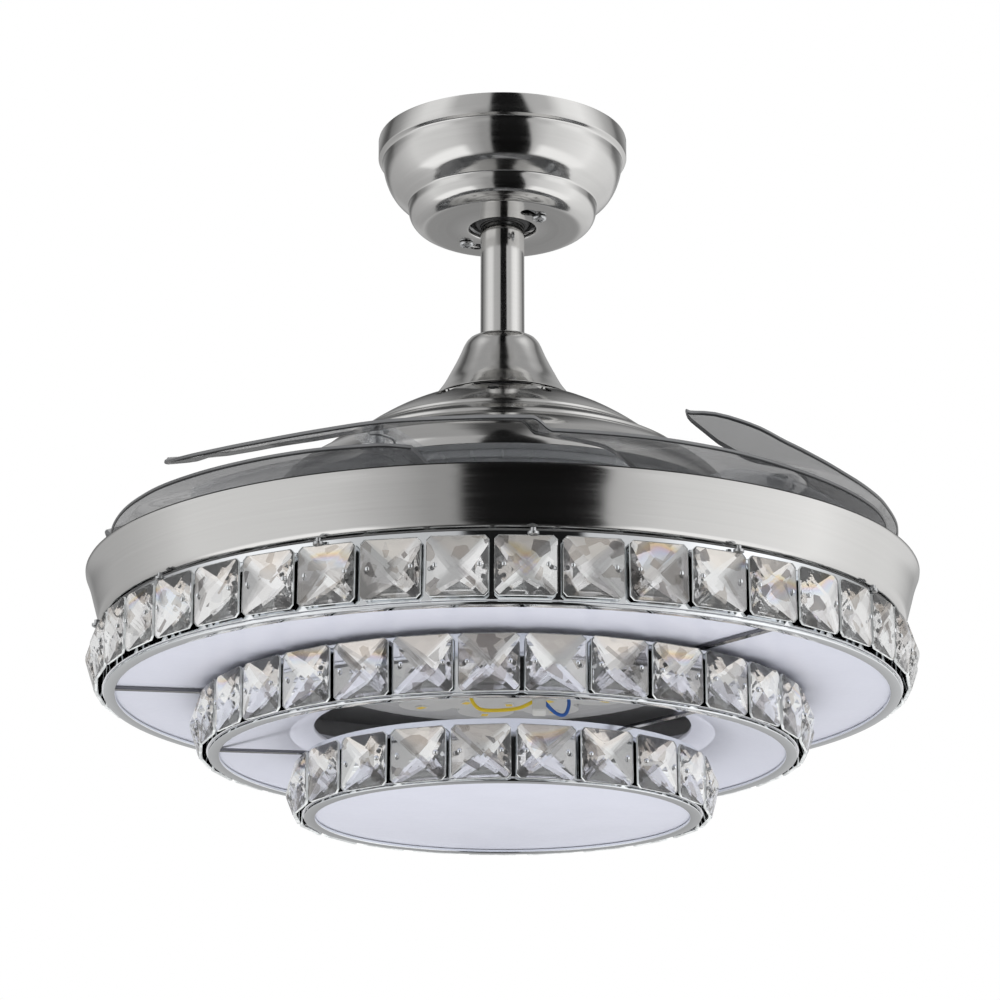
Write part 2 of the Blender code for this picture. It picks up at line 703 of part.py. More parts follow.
def make_stator(parts, cutters):
    core = ring("stator_core", STATOR_R, SHAFT_R + CLEAR, STATOR_Z, STATOR_Z - STATOR_H,
                STATOR_SLOTS * 2, LAMINATION, parts)
    slot_l = STATOR_R - WINDING_R + OVERRUN
    size = (slot_l, STATOR_SLOT_W, STATOR_H + OVERRUN)
    for i in range(STATOR_SLOTS):
        turn = math.tau * (i + SLOT_PHASE) / STATOR_SLOTS
        place = around(turn, WINDING_R + slot_l / 2, STATOR_Z - STATOR_H / 2)
        cut(core, box(f"stator_slot_cut_{i}", size, place, cutters))
    settle(core)
    base = STATOR_Z + CLEAR
    middle = (WINDING_R + WINDING_IN_R) / 2
    half = (WINDING_R - WINDING_IN_R) / 2
    points = [(middle + half * math.cos(a), base + WINDING_H * math.sin(a))
              for a in (0.0, math.pi / 3, math.pi * 2 / 3, math.pi)]
    points.reverse()
    return settle(turned("stator_winding", points, ROD_STEPS, COPPER, parts))


# Turning housing and blade carrier

def make_motor_cover(parts, cutters):
    points = scaled_profile(DOME_PROFILE_SHARES, DOME_R, DOME_H, DOME_TOP_Z)
    points.insert(0, (DOME_HOLE_R, DOME_TOP_Z))
    shell = turned_shell("motor_cover", points, MEDIUM_STEPS, SHEET, NICKEL, parts)
    top = scaled_profile(DOME_PROFILE_SHARES[2:3], DOME_R, DOME_H, DOME_TOP_Z)[0][1]
    for i in range(VENTS):
        place = around(math.tau * (i + VENT_PHASE) / VENTS, VENT_PLACE, top)
        vent = box(f"vent_cut_{i}", (VENT_L, VENT_W, DOME_H / 3), place, cutters)
        cut(shell, vent)
    return settle(shell)


def carrier_outline():
    lobe_half = math.asin(LOBE_R / DOME_R)
    points = []
    for k in range(BLADES):
        turn = pivot_angle(k)
        centre = (PIVOT_PLACE * math.cos(turn), PIVOT_PLACE * math.sin(turn))
        points += arc_points(centre, LOBE_R, turn - math.pi / 2, turn + math.pi / 2, 5)
        stop = turn + math.tau / BLADES - lobe_half
        points += arc_points((0.0, 0.0), DOME_R, turn + lobe_half, stop, 7)
    return points


def pivot_angle(k):
    return FIRST_TIP + PIVOT_FROM_TIP + math.tau * k / BLADES


def make_blade_carrier(parts):
    outlines = [carrier_outline(), circle_points((0.0, 0.0), ROTOR_R + CLEAR * 3, MEDIUM_STEPS)]
    for k in range(BLADES):
        turn = pivot_angle(k)
        centre = (PIVOT_PLACE * math.cos(turn), PIVOT_PLACE * math.sin(turn))
        outlines.append(circle_points(centre, PIN_R + CLEAR, SMALL_STEPS))
    middle = at(0, 0, (CARRIER_TOP_Z + CARRIER_BASE_Z) / 2)
    return settle(flat_plate("blade_carrier", outlines, CARRIER_T, middle, CLEAR_PLASTIC, parts))


def make_blade_pivots(parts):
    """Riveted pins, each with its middle on its blade's joint axis."""
    head = CARRIER_TOP_Z + CLEAR
    arm_base = BLADE_ROOT_Z - BLADE_T / 2 - CLEAR - ARM_T
    end = arm_base - CLEAR
    points = ((0.0, head + PIN_HEAD_H), (PIN_HEAD_R, head + PIN_HEAD_H), (PIN_HEAD_R, head),
              (PIN_R, head), (PIN_R, end), (PIN_END_R, end), (PIN_END_R, end - PIN_END_H),
              (0.0, end - PIN_END_H))
    for k in range(BLADES):
        pin = turned(f"blade_pivot_{k + 1}", points, SMALL_STEPS, STEEL, parts, closed=False)
        settle(pin)
        pin.matrix_world = around(pivot_angle(k), PIVOT_PLACE)


def least_gap(points, radius, apart):
    """The least gap of a tube to itself, between points at least so many steps apart on it."""
    places = [Vector(point) for point in points]
    return min((first - second).length - 2 * radius
               for i, first in enumerate(places) for second in places[i + apart:])


def spring_points():
    """A return spring wound down round the blade's boss, from the carrier to the blade."""
    top = CARRIER_BASE_Z - CLEAR - SPRING_WIRE_R
    base = BLADE_ROOT_Z + BLADE_T / 2 + CLEAR + SPRING_WIRE_R
    count = SPRING_TURNS * SPRING_POINTS
    points = []
    for i in range(count + 1):
        turn = math.tau * i / SPRING_POINTS
        z = top + (base - top) * i / count
        points.append((SPRING_R * math.cos(turn), SPRING_R * math.sin(turn), z))
    return points


def make_blade_springs(parts):
    points = spring_points()
    gap = least_gap(points, SPRING_WIRE_R, SPRING_POINTS // 2)
    print(f"least gap of a blade spring to itself: {gap:.5f} m")
    for k in range(BLADES):
        coil = tube(f"blade_spring_{k + 1}", points, SPRING_WIRE_R, STEEL, parts, 0)
        settle(coil)
        coil.matrix_world = around(pivot_angle(k), PIVOT_PLACE)


# Blades

def read_table(table, share, column):
    """A value between a table's rows, which start with their shares."""
    for first, second in zip(table, table[1:]):
        if share <= second[0]:
            break
    part = (share - first[0]) / (second[0] - first[0])
    return first[column] + (second[column] - first[column]) * part


def blade_height(share, radius):
    """Height of the blade's middle plane: it steps up over the next blade and its tip lifts."""
    layer = LAYER_STEP * (1.0 - smooth_step(share, *JOGGLE_SHARES))
    rise = TIP_RISE * (1.0 - min(share / TIP_BEND_SHARE, 1.0)) ** TIP_BEND_POWER
    pitch = read_table(BLADE_PITCH_SHARES, share, 1)
    return BLADE_ROOT_Z + layer + rise + pitch * (BLADE_OUTER_R - radius)


def local_place(share, radius, z):
    """A place given by its share of the arc from the tip, in the blade's own pivot frame."""
    angle = share * BLADE_ARC - PIVOT_FROM_TIP
    return (radius * math.cos(angle) - PIVOT_PLACE, radius * math.sin(angle), z)


def lofted_plate(name, rows, half, finish, where):
    """A plate lofted through rows of (arc share, outer radius, inner radius, height function)."""
    bm = bmesh.new()
    sections = []
    for share, outer, inner, height in rows:
        corners = ((outer, half), (inner, half), (inner, -half), (outer, -half))
        sections.append([bm.verts.new(local_place(share, radius, height(share, radius) + side))
                         for radius, side in corners])
    for first, second in zip(sections, sections[1:]):
        for j in range(4):
            bm.faces.new((first[j], second[j], second[j - 1], first[j - 1]))
    for end in (sections[0], sections[-1]):
        bm.faces.new(end)
    bmesh.ops.recalc_face_normals(bm, faces=bm.faces)
    return add(name, mesh_of(name, bm), where, finish)


def blade_rows():
    return [(share, outer * BLADE_OUTER_R, inner * BLADE_OUTER_R, blade_height)
            for share, outer, inner in BLADE_STATION_SHARES]


def edges_at(share):
    """The blade's outer and inner radius at any share of its arc."""
    return tuple(read_table(BLADE_STATION_SHARES, share, column) * BLADE_OUTER_R for column in (1, 2))


def make_blades(parts, cutters):
    blade = lofted_plate("blade_1", blade_rows(), BLADE_T / 2, SMOKE_ACRYLIC, parts)
    bore = cylinder("blade_bore_cut", BOSS_R + CLEAR, BLADE_T + OVERRUN * 2, at(0, 0, BLADE_ROOT_Z), cutters)
    cut(blade, bore)
    settle(blade)
    for k in range(BLADES):
        if k:
            blade = add(f"blade_{k + 1}", blade.data, parts)
        blade.matrix_world = around(pivot_angle(k), PIVOT_PLACE)


def arm_rows():
    rows = []
    count = 2
    level = BLADE_ROOT_Z - BLADE_T / 2 - CLEAR - ARM_T / 2
    for i in range(count + 1):
        share = ARM_FROM_SHARE + (ARM_TO_SHARE - ARM_FROM_SHARE) * i / count
        outer, inner = edges_at(share)
        rows.append((share, outer - ARM_INSET, inner + ARM_INSET, lambda s, r: level))
    return rows


def rib_rows(rows, place):
    level = BLADE_ROOT_Z - BLADE_T / 2 - CLEAR - ARM_T - ARM_RIB_H / 2 + EMBED / 2
    made = []
    for share, outer, inner, _ in rows:
        middle = outer + (inner - outer) * place
        made.append((share, middle + ARM_RIB_W / 2, middle - ARM_RIB_W / 2, lambda s, r: level))
    inset = (rows[-1][0] - rows[0][0]) * EMBED / ARM_INSET
    made[0] = (made[0][0] + inset, *made[0][1:])
    made[-1] = (made[-1][0] - inset, *made[-1][1:])
    return made


def make_blade_brackets(parts, cutters):
    rows = arm_rows()
    arm = lofted_plate("blade_bracket_1", rows, ARM_T / 2, CLEAR_PLASTIC, parts)
    for i, place in enumerate(RIB_PLACE_SHARES):
        half = (ARM_RIB_H + EMBED) / 2
        join(arm, lofted_plate(f"arm_rib_{i}", rib_rows(rows, place), half, None, cutters))
    boss_top = CARRIER_BASE_Z - CLEAR
    boss_base = BLADE_ROOT_Z - BLADE_T / 2 - CLEAR - ARM_T
    height = boss_top - boss_base - EMBED
    middle = at(0, 0, boss_top - height / 2)
    join(arm, cylinder("arm_boss", BOSS_R, height, middle, cutters))
    bore = cylinder("arm_bore_cut", PIN_R + CLEAR, height * 2, middle, cutters, SMALL_STEPS)
    cut(arm, bore)
    pad = cylinder("arm_pad_cut", PIN_END_R + CLEAR, ARM_RIB_H * 2,
                   at(0, 0, boss_base - ARM_RIB_H), cutters)
    cut(arm, pad)
    settle(arm)
    for k in range(BLADES):
        if k:
            arm = add(f"blade_bracket_{k + 1}", arm.data, parts)
        arm.matrix_world = around(pivot_angle(k), PIVOT_PLACE)


# Light pan and chassis

def make_band_ring(parts):
    lip_top = BAND_BASE_Z + BAND_LIP / 3
    points = ((BAND_R - BAND_TOP_LIP, BAND_TOP_Z), (BAND_R, BAND_TOP_Z), (BAND_FOOT_R, lip_top),
              (BAND_FOOT_R - BAND_LIP / 6, BAND_BASE_Z + BAND_LIP / 9),
              (BAND_FOOT_R - BAND_LIP / 2, BAND_BASE_Z), (PAN_FOOT_R + CLEAR, BAND_BASE_Z))
    return settle(turned_shell("band_ring", points, LARGE_STEPS, SHEET, NICKEL, parts))


def make_light_pan(parts):
    foot_top = BAND_BASE_Z + PAN_FOOT_H
    points = ((SHAFT_R + CLEAR, PAN_TOP_Z), (PAN_R, PAN_TOP_Z), (PAN_FOOT_R, foot_top),
              (PAN_FOOT_R, BAND_BASE_Z), (PAN_FOOT_R - PAN_FLANGE_W, BAND_BASE_Z))
    return settle(turned_shell("light_pan", points, LARGE_STEPS, SHEET, WHITE_STEEL, parts))


def make_shaft_nut(parts, cutters):
    middle = at(0, 0, NUT_TOP_Z - NUT_H / 2)
    nut = cylinder("shaft_nut", NUT_R, NUT_H, middle, parts, 6, STEEL)
    cut(nut, cylinder("nut_bore_cut", SHAFT_R + CLEAR, NUT_H * 2, middle, cutters, ROD_STEPS))
    return settle(nut)


def make_chassis(parts):
    points = ((DISH_HOLE_R, CHASSIS_FLOOR_Z), (DISH_FLOOR_R, CHASSIS_FLOOR_Z), (DISH_R, CHASSIS_Z),
              (CHASSIS_R, CHASSIS_Z))
    return settle(turned_shell("chassis_plate", points, LARGE_STEPS, SHEET, CHROME, parts))


def make_posts(parts):
    top, base = PAN_BASE_Z - CLEAR, CHASSIS_Z + CLEAR
    for i in range(POSTS):
        place = around(POST_TURN + math.tau * i / POSTS, POST_PLACE, (top + base) / 2)
        settle(cylinder(f"chassis_post_{i + 1}", POST_R, top - base, place, parts, SMALL_STEPS, STEEL))


def make_control_boxes(parts):
    top = PAN_BASE_Z - CLEAR
    for name, size, x in (("led_driver", DRIVER_SIZE, DRIVER_PLACE),
                          ("remote_receiver", RECEIVER_SIZE, RECEIVER_PLACE)):
        body = box(name, size, at(x, 0, top - size[2] / 2), parts, WHITE_PLASTIC)
        bevel_edges(body, SHEET)
        settle(body)


# Crystal tiers

def tier_levels(k):
    """Top of the tier's wall and the underside of its rim."""
    top = BAND_BASE_Z - CLEAR
    for drop in TIER_DROP[:k]:
        top -= drop + CLEAR
    return top, top - TIER_DROP[k]


def wall_apothem(k):
    return TIER_RIM_R[k] + CLEAR + EMBED


def crystal_mesh(side):
    """One cut crystal: a square foot and four slopes up to a small flat table, facing +X."""
    bm = bmesh.new()
    bmesh.ops.create_cube(bm, size=1.0)
    bmesh.ops.scale(bm, vec=(CRYSTAL_BASE, side, CRYSTAL_H), verts=bm.verts)
    bmesh.ops.translate(bm, vec=(CRYSTAL_BASE / 2, 0.0, 0.0), verts=bm.verts)
    bm.faces.ensure_lookup_table()
    front = max(bm.faces, key=lambda face: face.calc_center_median().x)
    made = bmesh.ops.extrude_discrete_faces(bm, faces=[front])["faces"][0]
    rise = CRYSTAL_DEPTH - CRYSTAL_BASE
    bmesh.ops.translate(bm, vec=(rise, 0.0, 0.0), verts=made.verts)
    bmesh.ops.scale(bm, vec=(1.0, CRYSTAL_TABLE / side, CRYSTAL_TABLE / CRYSTAL_H), verts=made.verts)
    return mesh_of("crystal", bm)


def crystal_row(k, cutters):
    """All the tier's crystals as one guide, to be joined to the wall that carries them."""
    count = TIER_CRYSTALS[k]
    base = tier_levels(k)[1] + CRYSTAL_FOOT
    single = crystal_mesh(2 * wall_apothem(k) * math.tan(math.pi / count) - CRYSTAL_GAP)
    bm = bmesh.new()
    for i in range(count):
        turn = TIER_TURN[k] + math.tau * (i + 0.5) / count
        before = set(bm.verts)
        bm.from_mesh(single)
        fresh = [v for v in bm.verts if v not in before]
        place = around(turn, wall_apothem(k) - EMBED, base + CRYSTAL_H / 2)
        bmesh.ops.transform(bm, matrix=place, verts=fresh)
    return add(f"crystal_row_{k + 1}", mesh_of(f"crystal_row_{k + 1}", bm), cutters)


def make_crystal_tier(k, parts, cutters):
    top, base = tier_levels(k)
    wall_base = base + RIM_T + CLEAR
    count = TIER_CRYSTALS[k]
    outer = wall_apothem(k) / math.cos(math.pi / count)
    inner = outer - WALL_T
    under = top - SHEET
    points = ((outer, top), (outer, wall_base), (inner, wall_base), (inner, under),
              (FLANGE_IN_R[k], under), (FLANGE_IN_R[k], top))
    wall = turned(f"tier_{k + 1}_crystals", points, count, CRYSTAL_GLASS, parts)
    wall.rotation_euler.z = TIER_TURN[k]
    join(wall, crystal_row(k, cutters))
    return settle(wall)


def make_rim(k, parts, cutters):
    base = tier_levels(k)[1]
    outer, inner = TIER_RIM_R[k], TIER_RIM_R[k] - RIM_W
    frame = ring(f"tier_{k + 1}_rim", outer, inner, base + RIM_T, base, LARGE_STEPS, CHROME, parts)
    if k < len(TIER_SPOKE_IN):
        reach = inner + RIM_W / 2 - TIER_SPOKE_IN[k]
        size = (reach, SPOKE_W, RIM_T - 2 * SPOKE_INSET)
        for i, turn in enumerate(SPOKE_TURNS):
            place = around(turn, TIER_SPOKE_IN[k] + reach / 2, base + RIM_T / 2)
            join(frame, box(f"spoke_{k + 1}_{i + 1}", size, place, cutters))
    return settle(frame)


def diffuser_edge(k):
    count = TIER_CRYSTALS[k]
    inner = wall_apothem(k) / math.cos(math.pi / count) - WALL_T
    return inner * math.cos(math.pi / count) - CLEAR


def make_diffusers(parts):
    seats = [tier_levels(k)[1] + RIM_T + CLEAR for k in range(3)]
    ring("tier_1_diffuser", diffuser_edge(0), DIFFUSER_IN_R, seats[0] + DIFFUSER_T, seats[0],
         LARGE_STEPS, OPAL_ACRYLIC, parts)
    edge, seat = diffuser_edge(1), seats[1]
    high = seat + DISHED_RISE
    land = edge - RIM_W
    points = ((DISHED_IN_R, high + DIFFUSER_T), (land, seat + DIFFUSER_T), (edge, seat + DIFFUSER_T),
              (edge, seat), (land, seat), (DISHED_IN_R, high))
    turned("tier_2_diffuser", points, LARGE_STEPS, OPAL_ACRYLIC, parts)
    disc("tier_3_diffuser", diffuser_edge(2), seats[2] + DIFFUSER_T, seats[2], LARGE_STEPS,
         OPAL_ACRYLIC, parts)
    for k in range(3):
        settle(bpy.data.objects[f"tier_{k + 1}_diffuser"])


# Light boards and leads

def board_2_outline():
    points = []
    count = BOARD_2_LOBES * BOARD_2_LOBE_POINTS
    for i in range(count):
        turn = math.tau * i / count
        wave = abs(math.cos(BOARD_2_LOBES * turn / 2))
        radius = BOARD_2_R - BOARD_2_LOBE_DEPTH * (1.0 - wave)
        points.append((radius * math.cos(turn), radius * math.sin(turn)))
    return points


def make_light_boards(parts):
    top = CHASSIS_Z - SHEET - CLEAR
    settle(ring("led_board_1", BOARD_1_R, BOARD_1_IN_R, top, top - BOARD_T, LARGE_STEPS,
                BOARD_WHITE, parts))
    middle = at(0, 0, BOARD_2_Z - BOARD_T / 2)
    settle(flat_plate("led_board_2", [board_2_outline()], BOARD_T, middle, BOARD_WHITE, parts))
    top = tier_levels(2)[0] - SHEET - CLEAR
    settle(disc("led_board_3", BOARD_3_R, top, top - BOARD_T, MEDIUM_STEPS, BOARD_WHITE, parts))


def make_leads(parts):
    top = BOARD_2_Z - BOARD_T - CLEAR
    hang = top - LEAD_R - LEAD_DROP
    for name, route, finish, lifted in (("yellow_lead", YELLOW_LEAD, YELLOW_WIRE, 0),
                                        ("blue_lead", BLUE_LEAD, BLUE_WIRE, -1)):
        points = [(x, y, hang) for x, y in route]
        x, y = route[lifted]
        points[lifted] = (x, y, top - LEAD_R)
        settle(tube(name, points, LEAD_R, finish, parts))
    x, y = CONNECTOR_PLACE
    body = box("lead_connector", CONNECTOR_SIZE, at(x, y, top - CONNECTOR_SIZE[2] / 2), parts, WHITE_PLASTIC)
    settle(body)


def build():
    clear_scene()
    parts = collection("chandelier_ceiling_fan")
    cutters = collection("cutters")
    make_hanger_bracket(parts, cutters)
    make_canopy(parts, cutters)
    make_canopy_screws(parts)
    make_hanger_ball(parts, cutters)
    make_ball_seat_ring(parts)
    make_hanger_pin(parts)
    make_downrod(parts, cutters)
    make_coupling_cover(parts)
    make_motor_yoke(parts, cutters)
    make_coupling_bolt(parts)
    make_motor_shaft(parts)
    make_bearings(parts)
    make_rotor_top(parts)
    make_rotor_base(parts)
    make_stator(parts, cutters)
    make_motor_cover(parts, cutters)
    make_blade_carrier(parts)
    make_blade_pivots(parts)
    make_blade_springs(parts)
    make_blades(parts, cutters)
    make_blade_brackets(parts, cutters)
    make_band_ring(parts)
    make_light_pan(parts)
    make_shaft_nut(parts, cutters)
    make_chassis(parts)
    make_posts(parts)
    make_control_boxes(parts)
    for k in range(len(TIER_DROP)):
        make_crystal_tier(k, parts, cutters)
        make_rim(k, parts, cutters)
    make_diffusers(parts)
    make_light_boards(parts)
    make_leads(parts)


build()
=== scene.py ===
"""Looks of the chandelier ceiling fan: camera, lights, materials and its detailed pieces.

Everything is in the model's own frame: the ceiling is z = 0 and the fan hangs below it. Places are in
metres, and numbers in mm() or with MM are in millimetres.
"""

import math
import random

import bmesh
import bpy
from mathutils import Matrix, Vector


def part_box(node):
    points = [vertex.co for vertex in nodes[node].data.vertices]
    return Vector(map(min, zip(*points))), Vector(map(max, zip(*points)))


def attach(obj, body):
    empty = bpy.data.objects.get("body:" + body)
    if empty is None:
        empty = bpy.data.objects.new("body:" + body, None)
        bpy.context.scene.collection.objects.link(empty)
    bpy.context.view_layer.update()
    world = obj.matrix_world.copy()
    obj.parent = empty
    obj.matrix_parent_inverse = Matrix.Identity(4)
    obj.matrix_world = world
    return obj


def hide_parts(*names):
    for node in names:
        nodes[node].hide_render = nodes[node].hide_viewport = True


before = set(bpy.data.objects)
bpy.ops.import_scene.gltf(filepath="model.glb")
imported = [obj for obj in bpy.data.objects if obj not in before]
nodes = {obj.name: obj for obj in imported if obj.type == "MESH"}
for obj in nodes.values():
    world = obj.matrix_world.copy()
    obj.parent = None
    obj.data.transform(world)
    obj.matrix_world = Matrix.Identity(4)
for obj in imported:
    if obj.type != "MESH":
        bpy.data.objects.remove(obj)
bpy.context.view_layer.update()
scene = bpy.context.scene
rad = math.radians
MM = 0.001


# Node helpers

NOISE_SPAN = (0.3, 0.7)
GRAIN_DEPTH = 0.1 * MM


class Tree:
    """Builds a node tree: inputs are numbers, colours or other nodes' outputs."""

    def __init__(self, tree):
        self.tree = tree
        tree.nodes.clear()

    def add(self, kind, sockets=None, **settings):
        node = self.tree.nodes.new(kind)
        for key, value in settings.items():
            setattr(node, key, value)
        for key, value in (sockets or {}).items():
            self.put(node.inputs[key], value)
        return node

    def put(self, socket, value):
        if isinstance(value, bpy.types.NodeSocket):
            self.tree.links.new(value, socket)
        else:
            socket.default_value = value

    def math(self, operation, a, b=0.0, clamp=False):
        node = self.add("ShaderNodeMath", {0: a, 1: b}, operation=operation, use_clamp=clamp)
        return node.outputs[0]

    def times(self, a, b):
        return self.math("MULTIPLY", a, b)

    def span(self, value, low, high, to_low, to_high, sort="LINEAR"):
        """Value carried over from the span low to high to another span."""
        node = self.add("ShaderNodeMapRange", {0: value, 1: low, 2: high, 3: to_low, 4: to_high},
                        interpolation_type=sort)
        return node.outputs[0]

    def step(self, value, low, high, to_low=0.0, to_high=1.0):
        """A smooth step of value from low to high."""
        return self.span(value, low, high, to_low, to_high, "SMOOTHSTEP")

    def mix(self, share, a, b):
        """Number a where share is 0, b where it is 1."""
        node = self.add("ShaderNodeMix", {0: share, 2: a, 3: b})
        return node.outputs[0]

    def mix_colour(self, share, a, b, blend="MIX"):
        node = self.add("ShaderNodeMix", {0: share, 6: a, 7: b}, data_type="RGBA", blend_type=blend)
        return node.outputs[2]

    def noise(self, vector, scale, detail=3.0, roughness=0.55):
        node = self.add("ShaderNodeTexNoise", {"Vector": vector, "Scale": scale, "Detail": detail,
                                               "Roughness": roughness})
        return node.outputs[0]

    def ramp(self, value, stops):
        """A line through the stops (place in degrees, height)."""
        node = self.add("ShaderNodeValToRGB", {0: self.math("DIVIDE", value, 180.0)})
        points = node.color_ramp.elements
        points[0].position, points[1].position = stops[0][0] / 180, stops[-1][0] / 180
        for place, _ in stops[1:-1]:
            points.new(place / 180)
        for point, (_, height) in zip(points, stops):
            point.color = (height / 2, height / 2, height / 2, 1)
        return self.math("MULTIPLY", node.outputs[0], 2.0)

    def place(self):
        return self.add("ShaderNodeTexCoord").outputs["Object"]

    def bump(self, height, strength, distance):
        node = self.add("ShaderNodeBump", {"Strength": strength, "Distance": distance, "Height": height})
        return node.outputs["Normal"]

    def surface(self, sockets):
        shader = self.add("ShaderNodeBsdfPrincipled", sockets)
        output = self.add("ShaderNodeOutputMaterial")
        self.tree.links.new(shader.outputs[0], output.inputs[0])
        return shader


finish = {}


def new_material(name):
    """A new material, kept in finish under its name, and its node tree."""
    mat = bpy.data.materials.new(name)
    mat.use_nodes = True
    finish[name] = mat
    return mat, Tree(mat.node_tree)


def rgba(colour, share=1.0):
    return tuple(min(c * share, 1.0) for c in colour) + (1.0,)


def speckled(name, colour, rough, metal=0.0, spread=0.10, scale=90.0, bump=0.15):
    """A plain finish with faint mottling in its colour, gloss and surface."""
    mat, t = new_material(name)
    place = t.place()
    grain = t.noise(place, scale)
    cloud = t.span(t.noise(place, scale / 9, 2.0), *NOISE_SPAN, 0.0, 1.0)
    tint = t.mix_colour(cloud, rgba(colour, 1 - spread), rgba(colour, 1 + spread))
    gloss = t.span(grain, *NOISE_SPAN, max(rough - 0.05, 0.02), rough + 0.05)
    t.surface({"Base Color": tint, "Metallic": metal, "Roughness": gloss,
               "Normal": t.bump(grain, bump, GRAIN_DEPTH)})
    return mat


def brushed(name, colour, rough, streaks=0.16, aniso=0.35, distance=0.03 * MM, metal=1.0):
    """Metal brushed round the vertical axis: fine lines that follow radius and height."""
    mat, t = new_material(name)
    place = t.place()
    x, y, z = t.add("ShaderNodeSeparateXYZ", {0: place}).outputs
    radius = t.math("SQRT", t.math("ADD", t.times(x, x), t.times(y, y)))

    def lines(across, along):
        where = t.add("ShaderNodeCombineXYZ", {
            0: t.math("ADD", t.times(radius, across), t.times(x, along)),
            1: t.math("ADD", t.times(z, across), t.times(y, along)),
            2: t.times(t.math("SUBTRACT", x, y), along)})
        return where.outputs[0]

    fine = t.noise(lines(2600.0, 9.0), 1.0, 3.0, 0.7)
    broad = t.noise(lines(420.0, 5.0), 1.0, 2.0)
    wear = t.noise(place, 14.0, 3.0)
    both = t.math("ADD", t.times(fine, 0.6), t.times(broad, 0.4))
    tint = t.mix_colour(t.span(both, *NOISE_SPAN, 0.0, 1.0), rgba(colour, 1 - streaks / 2),
                        rgba(colour, 1 + streaks / 2))
    gloss = t.math("ADD", t.span(both, *NOISE_SPAN, rough - 0.04, rough + 0.05),
                   t.span(wear, *NOISE_SPAN, -0.02, 0.02))
    tangent = t.add("ShaderNodeTangent", direction_type="RADIAL", axis="Z").outputs[0]
    t.surface({"Base Color": tint, "Metallic": metal, "Roughness": gloss, "Anisotropic": aniso,
               "Tangent": tangent, "Normal": t.bump(fine, 0.10, distance)})
    return mat


def clear(name, colour, other, rough, ior, scale=30.0, bump=0.0, share=1.0, cover=1.0):
    """A see-through finish whose tint drifts; light passes straight through what isn't covered."""
    mat, t = new_material(name)
    place = t.place()
    cloud = t.noise(place, scale, 2.0)
    sockets = {"Base Color": t.mix_colour(t.span(cloud, 0.35, 0.65, 0.0, 1.0), rgba(colour), rgba(other)),
               "Roughness": rough, "IOR": ior, "Transmission Weight": share, "Alpha": cover}
    if bump:
        sockets["Normal"] = t.bump(t.noise(place, scale * 6), bump, GRAIN_DEPTH)
    t.surface(sockets)
    return mat


def colours(t, value, stops, interpolation="LINEAR"):
    """A colour ramp through the stops (position, colour)."""
    node = t.add("ShaderNodeValToRGB", {0: value})
    node.color_ramp.interpolation = interpolation
    points = node.color_ramp.elements
    points[0].position, points[0].color = stops[0][0], rgba(stops[0][1])
    points[1].position, points[1].color = stops[-1][0], rgba(stops[-1][1])
    for position, colour in stops[1:-1]:
        points.new(position).color = rgba(colour)
    return node.outputs[0]


def cells(t, scale):
    """A number of its own for each straight-edged cell."""
    cell = t.add("ShaderNodeTexVoronoi", {"Vector": t.place(), "Scale": scale})
    return t.add("ShaderNodeSeparateColor", {0: cell.outputs["Color"]}).outputs[0]


GLASS = {"Roughness": 0.0, "IOR": 1.43, "Transmission Weight": 0.93}
COAT = {"Metallic": 1.0, "Roughness": 0.02}


def cut(name, stops, scale, sort=GLASS):
    """Cut glass, or the mirror coat on its back, with a tint picked for each straight-edged cell; the grey,
    brown and deep tints are painted reflections.
    """
    mat, t = new_material(name)
    t.surface({"Base Color": colours(t, cells(t, scale), stops, "CONSTANT"), **sort})
    return mat


def frosted(name, colour):
    """The ground sides of the crystals."""
    mat, t = new_material(name)
    tint = t.mix_colour(t.step(t.noise(t.place(), 90.0), 0.45, 0.55), rgba(colour), rgba(colour, 0.72))
    t.surface({"Base Color": tint, "Roughness": 0.35})
    return mat


def fire_glass(name, stops):
    """Cut glass with a painted band of split light, in rainbow tints, across it."""
    mat, t = new_material(name)
    height = t.add("ShaderNodeSeparateXYZ", {0: t.add("ShaderNodeTexCoord").outputs["Generated"]}).outputs[2]
    shift = t.span(t.noise(t.place(), 32.0, 0.0), *NOISE_SPAN, -0.16, 0.16)
    t.surface({"Base Color": colours(t, t.math("ADD", height, shift), stops), **GLASS})
    return mat


NICKEL = (0.60, 0.595, 0.585)
brushed("brushed_nickel", NICKEL, 0.115, streaks=0.07, aniso=0.2)
brushed("chrome", (0.80, 0.82, 0.84), 0.06, streaks=0.04, aniso=0.0, distance=0.005 * MM)
speckled("zinc_steel", (0.55, 0.56, 0.57), 0.30, 1.0, scale=400.0)
speckled("white_steel", (0.80, 0.80, 0.81), 0.42, spread=0.03, scale=500.0, bump=0.2)
speckled("cast_alloy", (0.50, 0.51, 0.52), 0.45, 1.0, scale=700.0, bump=0.4)
speckled("black_rubber", (0.012, 0.012, 0.013), 0.72, spread=0.2, scale=900.0, bump=0.3)
speckled("black_plastic", (0.018, 0.018, 0.02), 0.42, spread=0.2, scale=900.0, bump=0.3)
speckled("white_plastic", (0.80, 0.80, 0.78), 0.35, spread=0.03, scale=500.0, bump=0.2)
brushed("copper_wire", (0.62, 0.24, 0.10), 0.28, streaks=0.7, distance=0.3 * MM)
brushed("laminations", (0.24, 0.24, 0.26), 0.40, streaks=0.6, distance=0.2 * MM)
clear("smoke_acrylic", (0.150, 0.152, 0.155), (0.120, 0.122, 0.125), 0.04, 1.40, share=0.3, cover=0.53)
clear("clear_plastic", (0.80, 0.82, 0.84), (0.72, 0.74, 0.76), 0.03, 1.50,
      scale=60.0, bump=0.15, share=0.55, cover=0.30)
cut("crystal", ((0.0, (0.98, 0.99, 0.985)), (0.5, (0.995, 0.995, 0.995))), 40.0)
speckled("opal_acrylic", (0.66, 0.67, 0.75), 0.38, spread=0.015, scale=300.0, bump=0.08)
